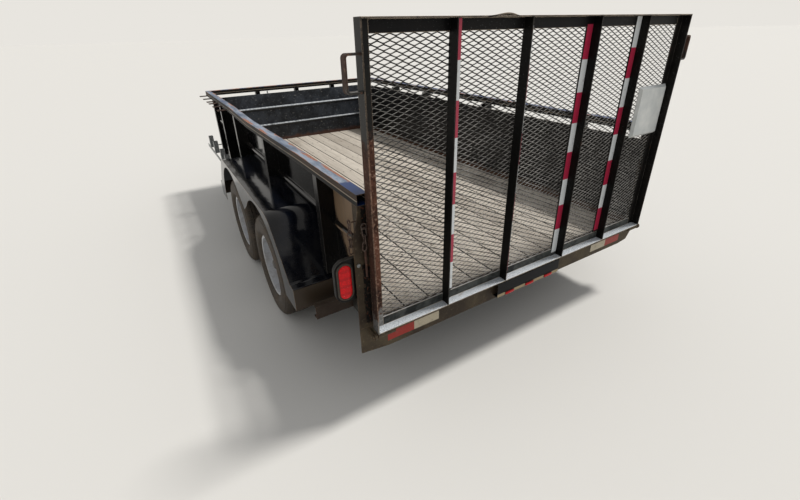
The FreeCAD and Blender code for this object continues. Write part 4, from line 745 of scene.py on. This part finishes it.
up_size = STRAND_WIDE * math.cos(STRAND_TILT) + STRAND_THICK * math.sin(STRAND_TILT)
swing = (SHORT_WAY / 2 - up_size * 0.8) / 2     # neighbours share a fifth of a strand at a bond
half_periods = int((mesh_high.y - mesh_low.y) / (LONG_WAY / 2))
strand_pairs = int((mesh_high.z - mesh_low.z - up_size) / SHORT_WAY)


def strand(shape, height, first):
    """One zigzag strand along y at a height; first is its first peak's sign."""
    left_out = mesh_high.y - mesh_low.y - half_periods * LONG_WAY / 2
    start = Vector((mesh_low.x + MESH_INSET, mesh_low.y + left_out / 2, height + first * swing))
    along = X * -math.sin(STRAND_TILT) + Z * math.cos(STRAND_TILT)
    across = X * math.cos(STRAND_TILT) + Z * math.sin(STRAND_TILT)
    corners = [start + along * (a * STRAND_WIDE / 2) + across * (b * STRAND_THICK / 2)
               for a, b in ((-1, -1), (1, -1), (1, 1), (-1, 1))]
    end = shape.faces.new([shape.verts.new(corner) for corner in corners])
    end = pushed(shape, end, Y * BOND_HALF)
    for number in range(half_periods):
        side = first if number % 2 == 0 else -first
        end = pushed(shape, end, Y * (LONG_WAY / 2 - 2 * BOND_HALF) - Z * (side * 2 * swing))
        last = number == half_periods - 1
        end = pushed(shape, end, Y * (BOND_HALF if last else 2 * BOND_HALF))


shape = bmesh.new()
first_height = mesh_low.z + swing + up_size / 2
strand(shape, first_height, 1)
strand(shape, first_height + SHORT_WAY / 2, -1)
expanded = piece("gate_expanded_mesh", shape, "gate", [mesh_steel], smooth=False)
rows = expanded.modifiers.new("rows", "ARRAY")
rows.count = strand_pairs
rows.use_relative_offset = False
rows.use_constant_offset = True
rows.constant_offset_displace = (0.0, 0.0, SHORT_WAY)
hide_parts("gate_mesh")

# %% [markdown]
# Reflective tape runs down the backs of the gate's ribs and along the sill's ends. It is sold
# two inches wide, in equal lengths of red and white, six inches each. On a rib it lies against
# the standing leg, so it reaches a little past the flange's free edge.

# %% Reflective tape
TAPE_LENGTH = 0.1524
TAPE_WIDE = 0.0508
TAPE_THICK = 0.0003
RIB_TAPES = ((0.0, 1), (0.038, 0), (0.038, 1), (0.0, 0))    # drop from the gate's top, first colour
LENGTHS_PER_RIB = 8
SILL_TAPES = ((0.935, -1), (-0.915, 1))                     # outer end, way inwards
TAPE_ABOVE_FOOT = 0.004
ANGLE_WALL = 0.005                                          # thickness of the gate's angle bars
rib_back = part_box("gate_plate")[1].x
gate_low, gate_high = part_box("gate_uprights")
sill_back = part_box("rear_sill")[0].x
sill_tape_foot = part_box("frame_rails")[0].z + TAPE_ABOVE_FOOT

shape = bmesh.new()
for (low, high), (drop, first) in zip(ribs, RIB_TAPES):
    leg = high.y - ANGLE_WALL
    for number in range(LENGTHS_PER_RIB):
        top = gate_high.z - drop - number * TAPE_LENGTH
        block(shape, (rib_back - TAPE_THICK, leg - TAPE_WIDE, top - TAPE_LENGTH), (rib_back, leg, top),
              finish=(number + first) % 2)
piece("gate_tapes", shape, "gate", [tape_red, tape_white], smooth=False)

shape = bmesh.new()
for outer, step in SILL_TAPES:
    for number in range(2):
        near, far = sorted(outer + step * ends * TAPE_LENGTH for ends in (number, number + 1))
        block(shape, (sill_back - TAPE_THICK, near, sill_tape_foot),
              (sill_back, far, sill_tape_foot + TAPE_WIDE), finish=number)
piece("sill_tapes", shape, "chassis", [dull_red, dull_white], smooth=False)

# %% [markdown]
# A 15 inch trailer tyre has a rounded cheek with a ring near the bead and one below the
# shoulder, grooves round the tread, and short cuts across each shoulder. Half of its section is
# written out, mirrored and spun round the axle; every third row of shoulder corners then moves
# inwards as a cut.

# %% Tyres
TYRE_STEPS = 360
STEPS_PER_CUT = 3
CUT_DEPTH = 0.0045
CUT_FROM = 0.0580            # the cuts' reach across the shoulder
CUT_TO = 0.0850
CUT_OUTSIDE = 0.3300         # and the radius beyond which they start
GROOVES = (0.020, 0.046)
GROOVE_HALF = 0.0035
GROOVE_DEPTH = 0.007
tyre_low, tyre_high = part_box("tyre_rear_left")
TYRE_R = (tyre_high.z - tyre_low.z) / 2
TYRE_HALF = (tyre_high.y - tyre_low.y) / 2
RIM_SEAT = 0.1908
CHEEK = (                    # radius, offset from the tyre's middle
    (RIM_SEAT, 0.0735), (0.2000, 0.0757), (0.2085, 0.0775), (0.2160, 0.0850), (0.2185, 0.0885),
    (0.2225, 0.0893), (0.2250, 0.0925), (0.2360, 0.0985), (0.2530, TYRE_HALF), (0.2750, TYRE_HALF - 0.0008),
    (0.2950, 0.0980), (0.3080, 0.0948), (0.3100, 0.0962), (0.3140, 0.0953), (0.3150, 0.0928),
    (0.3240, 0.0890), (0.3310, 0.0845), (0.3360, 0.0790), (0.3390, 0.0725), (0.3408, 0.0660),
)


def tread_half():
    """From the shoulder in to the middle: ribs with square grooves between them."""
    points = [(TYRE_R - 0.0016, 0.0600)]
    for groove in GROOVES[::-1]:
        crown = TYRE_R - 0.0004 - 0.5 * groove ** 2
        points += [(crown, groove + GROOVE_HALF), (crown - GROOVE_DEPTH, groove + GROOVE_HALF - 0.001),
                   (crown - GROOVE_DEPTH, groove - GROOVE_HALF + 0.001), (crown, groove - GROOVE_HALF)]
    return points + [(TYRE_R, 0.006)]


for wheel in wheels:
    low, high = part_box("tyre_" + wheel)
    centre = (low + high) / 2
    half = list(CHEEK) + tread_half()
    mirrored = [(radius, -offset) for radius, offset in half[::-1]]
    shape = bmesh.new()
    corners = spun(shape, half + mirrored, centre, Y, X, TYRE_STEPS)
    for vert in corners:
        out = vert.co - centre
        number = round(math.atan2(out.z, out.x) / (2 * math.pi) * TYRE_STEPS)
        radial = Vector((out.x, 0, out.z))
        on_shoulder = CUT_FROM < abs(out.y) < CUT_TO and radial.length > CUT_OUTSIDE
        if number % STEPS_PER_CUT == 0 and on_shoulder:
            vert.co -= radial.normalized() * CUT_DEPTH
    made = piece("tread_" + wheel, shape, "wheel_" + wheel, [tyre_rubber])
    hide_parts("tyre_" + wheel)

# %% [markdown]
# Five nuts on a 4.5 inch circle hold each wheel, and a rubber valve fills it. A nut is a
# six-sided face pushed outwards, its rim drawn in to a chamfer, with the stud's end standing
# out. The same shape serves as a bolt head elsewhere.

# %% Wheel nuts and valves
STUD_CIRCLE = 0.05715
STUD_RADIUS = 0.0060
STUD_PROUD = 0.006
FIRST_STUD = 0.3             # its angle round the wheel
SEAT_OUT = 0.003             # wheel's seat beyond its middle plane
NUT_RADIUS = 0.0110
NUT_HEIGHT = 0.015
VALVE_CIRCLE = 0.168
VALVE_RADIUS = 0.0060
VALVE_SUNK = 0.004
VALVE_END = 0.022            # out from the seat
CAP_RADIUS = 0.0038
CAP_END = 0.034
OVERLAP = 0.001              # how far one rod reaches into the next


def hexagon(shape, spot, way, radius, height):
    """A nut or bolt head that stands on a surface, with a chamfered top."""
    top = pushed(shape, disc(shape, spot, way, radius, 6), way * (height * 0.85))
    bmesh.ops.inset_region(shape, faces=[top], thickness=radius * 0.18, depth=height * 0.15,
                           use_even_offset=True)


def rod(shape, start, end, radius, tip=1.0, sides=10):
    """A straight round rod; tip is its end's radius as a share of its start's."""
    bmesh.ops.create_cone(shape, cap_ends=True, segments=sides, radius1=radius, radius2=radius * tip,
                          depth=(end - start).length, matrix=facing((start + end) / 2, end - start))


def round_axle(radius, turn):
    """The way from a wheel's axle to a point at this radius and angle."""
    return X * (radius * math.cos(turn)) + Z * (radius * math.sin(turn))


for wheel in wheels:
    low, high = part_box("tyre_" + wheel)
    out = Y if low.y > 0 else -Y
    seat = (low + high) / 2 + out * SEAT_OUT
    shape = bmesh.new()
    for number in range(5):
        spot = seat + round_axle(STUD_CIRCLE, 2 * math.pi * number / 5 + FIRST_STUD)
        hexagon(shape, spot, out, NUT_RADIUS, NUT_HEIGHT)
        rod(shape, spot + out * (NUT_HEIGHT - OVERLAP), spot + out * (NUT_HEIGHT + STUD_PROUD),
            STUD_RADIUS, 0.8)
    spot = seat + round_axle(VALVE_CIRCLE, chance.uniform(0.0, 6.0))
    rod(shape, spot - out * VALVE_SUNK, spot + out * VALVE_END, VALVE_RADIUS, 0.65)
    rod(shape, spot + out * (VALVE_END - OVERLAP), spot + out * CAP_END, CAP_RADIUS)
    piece("nuts_" + wheel, shape, "wheel_" + wheel, [cast_metal])

# %% [markdown]
# The deck's planks are separate boards with eased edges and a little bow, held by two screws on
# every crossmember. Each is a block whose top edges are bevelled; its long edges are then
# divided, so that its corners can be moved to bow it.

# %% Planks and their screws
EASE = 0.004
SUNK = 0.0016                # how far a plank may lie below its neighbours
BOW = 0.0012                 # how far it may sag
SIDE_BOW = 0.0005
BOW_STEPS = 28
SCREW_RADIUS = 0.006
SCREW_SUNK = 0.0014
SCREW_PROUD = 0.0002
SCREW_INSET = 0.035
SCREW_STRAY = 0.006
LONG = 1.0                   # edges longer than this run along a plank

shape = bmesh.new()
screws = bmesh.new()
for low, high in boards:
    lift = chance.uniform(-SUNK, 0.0)
    bow = chance.uniform(0.0, BOW)
    phase = chance.uniform(0.0, 6.0)
    known = set(shape.verts)
    corners = block(shape, low, high)
    top_edges = dict.fromkeys(
        edge for vert in corners for edge in vert.link_edges
        if min(end.co.z for end in edge.verts) > low.z + EASE and edge.calc_length() > LONG)
    bmesh.ops.bevel(shape, geom=list(top_edges), offset=EASE, segments=2, profile=0.5, affect="EDGES",
                    material=-1)
    long_edges = dict.fromkeys(
        edge for vert in shape.verts if vert not in known for edge in vert.link_edges
        if edge.calc_length() > LONG)
    bmesh.ops.subdivide_edges(shape, edges=list(long_edges), cuts=BOW_STEPS - 1, use_grid_fill=True)
    for vert in set(shape.verts) - known:
        share = (vert.co.x - low.x) / (high.x - low.x)
        vert.co.y += SIDE_BOW * math.sin(phase + 11 * share)
        if vert.co.z > low.z + EASE:
            vert.co.z += lift - bow * (1 + math.sin(phase + 7 * share)) / 2
    for member_low, member_high in members:
        for y in (low.y + SCREW_INSET, high.y - SCREW_INSET):
            spot = Vector(((member_low.x + member_high.x) / 2, y, deck_level + lift))
            spot.x += chance.uniform(-SCREW_STRAY, SCREW_STRAY)
            spot.y += chance.uniform(-SCREW_STRAY, SCREW_STRAY)
            rod(screws, spot - Z * SCREW_SUNK, spot + Z * SCREW_PROUD, SCREW_RADIUS, 0.7)
made = piece("deck_boards", shape, "chassis", [deck_wood])
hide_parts("deck_planks")
piece("deck_screws", screws, "chassis", [rusty_chain])

# %% [markdown]
# A tail lamp's lens is a disc pulled apart to a slot, pushed out of its bracket and inset five
# times, each time less proud, which makes a shallow dome. The fat rubber ring round it is a
# section spun round and pulled apart by the same amount. Three small lamps sit on the centre bar.

# %% Lamps
LAMP_SIDES = 32
LAMP_SHORT = 0.0285
LAMP_LONG = 0.0825
LENS_PLAY = 0.0003
LENS_DEEP = 0.018
LENS_PROUD = 0.0005
DOME = (                     # inset, rise of each step
    (0.0012, 0.0017), (0.0028, 0.0014), (0.0050, 0.0012), (0.0070, 0.0007), (0.0070, 0.0003),
)
RING = (                     # out from the lens, forward of the bracket
    (0.0003, 0.0000), (0.0012, -0.0016), (0.0034, -0.0026), (0.0060, -0.0024), (0.0080, -0.0012),
    (0.0092, 0.0010), (0.0094, 0.0048), (0.0003, 0.0048),
)
RING_WIDE = 0.0094
SMALL_RIM = (0.0015, 0.0020, 0.0012)            # rubber behind, beside and above a small lamp
grommet_low, grommet_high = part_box("lamp_grommets")
bar_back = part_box("light_bar")[0].x
small_lamps = [box for box in solids("lamp_lenses") if box[1].x < bar_back]
half_side = math.pi / LAMP_SIDES                # turns the slot's straight sides upright

lenses = bmesh.new()
rings = bmesh.new()
for side in (1, -1):
    middle = Vector((grommet_low.x, side * (grommet_high.y - LAMP_SHORT - RING_WIDE),
                     (grommet_low.z + grommet_high.z) / 2))
    turn = Matrix.Rotation(half_side, 4, "X") @ Matrix.Rotation(-math.pi / 2, 4, "Y")
    place = Matrix.Translation(middle + X * LENS_DEEP) @ turn
    corners = bmesh.ops.create_circle(lenses, cap_ends=True, segments=LAMP_SIDES,
                                      radius=LAMP_SHORT - LENS_PLAY, matrix=place)["verts"]
    pull_apart(lenses, corners, middle, Z, LAMP_LONG - LAMP_SHORT)
    front = pushed(lenses, corners[0].link_faces[0], X * -(LENS_DEEP + LENS_PROUD))
    for inset, rise in DOME:
        bmesh.ops.inset_region(lenses, faces=[front], thickness=inset, depth=rise, use_even_offset=True)
    corners = spun(rings, [(LAMP_SHORT + out, x) for out, x in RING], middle, X,
                   Matrix.Rotation(half_side, 3, "X") @ Y, LAMP_SIDES)
    pull_apart(rings, corners, middle, Z, LAMP_LONG - LAMP_SHORT)
for low, high in small_lamps:
    block(lenses, low, (bar_back, high.y, high.z), 0.0025)
    behind, beside, above = SMALL_RIM
    block(rings, (bar_back - behind, low.y - beside, low.z - above),
          (bar_back, high.y + beside, high.z + above), 0.0005)
made = piece("lamp_domes", lenses, "chassis", [red_lens])
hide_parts("lamp_lenses")
made = piece("lamp_rings", rings, "chassis", [lamp_rubber])
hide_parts("lamp_grommets")

# %% [markdown]
# The latch chains hang from an eye beside each corner post and one behind it. They are welded
# links of round wire: rings pulled apart, each turned a quarter from the one above it and
# swung a little.

# %% Latch chains
WIRE = 0.003
LINK_HALF_LONG = 0.020
LINK_HALF_WIDE = 0.009
LINK_STEPS = 20
LINK_DROP = 0.0328
EYE_HALF = 0.012
STALK_END = 0.030            # of the rod that holds an eye to its post
PIN_RADIUS = 0.0055
PIN_LONG = 0.130
BESIDE_POST = (0.015, 0.034, 1.035, 4)      # forward of the post, outwards, height, links
BEHIND_POST = (-0.018, -0.015, 1.020, 2)
post_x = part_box("corner_posts")[0].x


def link(shape, centre, long_way, wide_way, half_long, half_wide):
    """A loop of round wire; a plain ring where both halves are equal."""
    turns = [math.pi / 4 * number for number in range(8)]
    section = [(half_wide + WIRE * math.cos(turn), WIRE * math.sin(turn)) for turn in turns]
    flat = long_way.cross(wide_way)
    start = Matrix.Rotation(math.pi / LINK_STEPS, 3, flat) @ wide_way
    corners = spun(shape, section, centre, flat, start, LINK_STEPS)
    pull_apart(shape, corners, centre, long_way, half_long - half_wide)


def hanging(shape, side, forward, outward, height, count, with_pin):
    """An eye on the corner post and links under it; the last link of one holds the latch pin."""
    wide_ways = (X, Y)
    turned = with_pin
    eye = Vector((post_x + forward, side * (rail_outer + outward), height))
    link(shape, eye, Z, wide_ways[turned], EYE_HALF, EYE_HALF)
    inwards = X if with_pin else Y * -side
    rod(shape, eye + inwards * (EYE_HALF - OVERLAP), eye + inwards * STALK_END, WIRE)
    top = eye - Z * (EYE_HALF - WIRE)
    for _ in range(count + with_pin):
        across = wide_ways[turned]
        long_way = (Z + across * chance.uniform(-0.10, 0.10)).normalized()
        wide_way = (across - long_way * across.dot(long_way)).normalized()
        link(shape, top - long_way * (LINK_HALF_LONG - WIRE), long_way, wide_way,
             LINK_HALF_LONG, LINK_HALF_WIDE)
        turned = not turned
        top -= Z * LINK_DROP
    if with_pin:
        rod(shape, top, top - Z * PIN_LONG, PIN_RADIUS, 0.8, 14)


shape = bmesh.new()
for side in (1, -1):
    hanging(shape, side, *BESIDE_POST, False)
    hanging(shape, side, *BEHIND_POST, True)
made = piece("chain_links", shape, "chassis", [rusty_chain])
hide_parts("latch_chains")

# %% [markdown]
# The frame is arc-welded, and a bead is a row of small overlapping drops. Little balls along a
# line, each of its own size, read as that, where the gate's bars meet and where the posts meet
# the top rails.

# %% Weld beads
WELD_STEP = 0.0045
WELD_RADIUS = 0.0030
RIB_LEG_IN = 0.006           # a rib's bead starts this far in from its edge
CORNER_BEAD = 0.040


def weld(shape, start, end):
    """A row of drops between two points."""
    count = max(2, round((end - start).length / WELD_STEP))
    for number in range(count + 1):
        spot = start.lerp(end, number / count)
        bmesh.ops.create_icosphere(shape, subdivisions=1, radius=WELD_RADIUS * chance.uniform(0.8, 1.2),
                                   matrix=Matrix.Translation(spot))


levels = (solids("gate_crossbars")[0][0].z + ANGLE_WALL, gate_high.z - ANGLE_WALL)
shape = bmesh.new()
for low, high in ribs:
    for level in levels:
        weld(shape, Vector((rib_back, low.y + RIB_LEG_IN, level)), Vector((rib_back, high.y, level)))
for side in (1, -1):
    for level in levels:
        corner = Vector((gate_low.x + 0.001, side * (gate_high.y - ANGLE_WALL), level))
        weld(shape, corner, corner + X * CORNER_BEAD)
piece("gate_welds", shape, "gate", [black_gate])

# %% [markdown]
# The top bar's rear edge has been hit, and a length of it is bent up in a low hump. A thin strip
# lies along the edge; dividing it gives corners to lift by a smooth bump.

# %% Bent edge of the gate's top bar
HUMP_FROM = 0.475            # along the bar, from left to right
HUMP_TO = 0.310
HUMP_RISE = 0.010
LIP_WIDE = 0.012
HUMP_STEPS = 25

shape = bmesh.new()
block(shape, (gate_low.x, HUMP_TO, gate_high.z - ANGLE_WALL),
      (gate_low.x + LIP_WIDE, HUMP_FROM, gate_high.z))
long_edges = [edge for edge in shape.edges if edge.calc_length() > 2 * LIP_WIDE]
bmesh.ops.subdivide_edges(shape, edges=long_edges, cuts=HUMP_STEPS - 1, use_grid_fill=True)
for vert in shape.verts:
    share = (vert.co.y - HUMP_TO) / (HUMP_FROM - HUMP_TO)
    behind = 1 - (vert.co.x - gate_low.x) / LIP_WIDE
    vert.co.z += behind * HUMP_RISE * math.sin(math.pi * share ** 0.7) ** 2
piece("gate_bent_edge", shape, "gate", [bar_steel])

# %% Weld beads under the top rails
shape = bmesh.new()
rail_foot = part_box("top_rail_left")[0].z
for low, high in posts:
    outer = math.copysign(max(abs(low.y), abs(high.y)), low.y)
    weld(shape, Vector((low.x, outer, rail_foot)), Vector((high.x, outer, rail_foot)))
piece("post_welds", shape, "chassis", [black_post])

# %% [markdown]
# One bolt goes through each corner plate and two through each lamp bracket. Each axle is clamped
# to its springs by U-bolts: a rod bent half round under the axle, with a leg up each side of
# the spring, through a plate and into nuts.

# %% Bolts
PLATE_BOLT = (1.059, 0.837)  # out from the middle, height
PLATE_BOLT_HEAD = (0.0090, 0.006)               # radius, height
BRACKET_BOLT_OUT = 1.066
BRACKET_BOLT_INSET = 0.020
BRACKET_BOLT_HEAD = (0.0050, 0.004)
bracket_low, bracket_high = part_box("tail_lamp_brackets")

shape = bmesh.new()
for side in (1, -1):
    hexagon(shape, Vector((post_x, side * PLATE_BOLT[0], PLATE_BOLT[1])), -X, *PLATE_BOLT_HEAD)
    for height in (bracket_low.z + BRACKET_BOLT_INSET, bracket_high.z - BRACKET_BOLT_INSET):
        hexagon(shape, Vector((bracket_low.x, side * BRACKET_BOLT_OUT, height)), -X, *BRACKET_BOLT_HEAD)
piece("corner_bolts", shape, "chassis", [zinc])

# %% U-bolts
U_WIRE = 0.006
U_HALF = 0.036               # half the distance between a U-bolt's legs
U_LEG = 0.078
U_BESIDE = 0.0285            # from the spring's middle to each of its two U-bolts
U_NUT = (0.0105, 0.009)
AXLE_RADIUS = 0.030
PLATE_ABOVE = 0.0585         # from the axle's middle to the plate's foot
PLATE_HALF = Vector((0.050, 0.036, 0.0))
PLATE_THICK = 0.008
spring_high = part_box("leaf_springs")[1]
spring_middle = (spring_high.y + solids("leaf_springs")[1][0].y) / 2

shape = bmesh.new()
for axle_low, axle_high in solids("axles"):
    axle = Vector(((axle_low.x + axle_high.x) / 2, 0.0, axle_low.z + AXLE_RADIUS))
    for side in (1, -1):
        middle = axle + Y * (side * spring_middle)
        plate = middle + Z * PLATE_ABOVE
        block(shape, plate - PLATE_HALF, plate + PLATE_HALF + Z * PLATE_THICK, 0.002)
        for offset in (-U_BESIDE, U_BESIDE):
            centre = middle + Y * offset
            end = disc(shape, centre + X * U_HALF + Z * U_LEG, -Z, U_WIRE, 8)
            end = pushed(shape, end, -Z * U_LEG)
            turned = bmesh.ops.spin(shape, geom=[end], cent=centre, axis=Y, angle=math.pi, steps=10)
            last = next(item for item in turned["geom_last"] if isinstance(item, bmesh.types.BMFace))
            pushed(shape, last, Z * U_LEG)
            for leg in (-U_HALF, U_HALF):
                hexagon(shape, centre + X * leg + Z * (PLATE_ABOVE + PLATE_THICK), Z, *U_NUT)
piece("u_bolts", shape, "chassis", [black_frame])

# %% [markdown]
# The stage is a plain pale floor. A broad sun, high on the right, throws a soft shadow to the
# left, and an even pale sky fills the rest; together they give about one unit of light on the
# floor, so colours render as they are written. Rays from the camera or off gloss see the
# floor's own colour beyond its edge.

# %% Floor and light
FLOOR_SIZE = 400.0
PAPER = "dcd8d0"
FAR_PAPER = "e8e5df"         # what the lit floor comes to, far away
SUN_TRAVEL = Vector((0.095, 0.554, -1.0))
SUN_STRENGTH = 2.3
SUN_SPREAD = math.radians(9.0)
SKY_STRENGTH = 0.55

floor_shape = bmesh.new()
bmesh.ops.create_grid(floor_shape, x_segments=1, y_segments=1, size=FLOOR_SIZE / 2)
mesh = bpy.data.meshes.new("floor")
floor_shape.to_mesh(mesh)
floor_shape.free()
mesh.materials.append(Finish("floor_paper", PAPER).done(0.9))
floor = in_scene("floor", mesh)

sun = in_scene("sun", bpy.data.lights.new("sun", "SUN"))
aim(sun, SUN_TRAVEL)
sun.data.energy = SUN_STRENGTH
sun.data.angle = SUN_SPREAD

scene.world = bpy.data.worlds.new("sky")
scene.world.use_nodes = True
tree = scene.world.node_tree
light_sky = tree.nodes["Background"]
join(tree, "eef1f6", light_sky.inputs["Color"])
join(tree, SKY_STRENGTH, light_sky.inputs["Strength"])
seen_sky = add_node(tree, "Background", {"Color": FAR_PAPER})
rays = add_node(tree, "LightPath").outputs
seen = rays["Is Camera Ray"]
for kind in ("Is Glossy Ray", "Is Transmission Ray"):
    seen = add_node(tree, "Math", {0: seen, 1: rays[kind]}, operation="MAXIMUM").outputs[0]
blend = add_node(tree, "MixShader", {0: seen, 1: light_sky.outputs[0], 2: seen_sky.outputs[0]})
join(tree, blend.outputs[0], tree.nodes["World Output"].inputs["Surface"])
print("sun", SUN_STRENGTH, "sky", SKY_STRENGTH)
scene.view_settings.view_transform = "Standard"
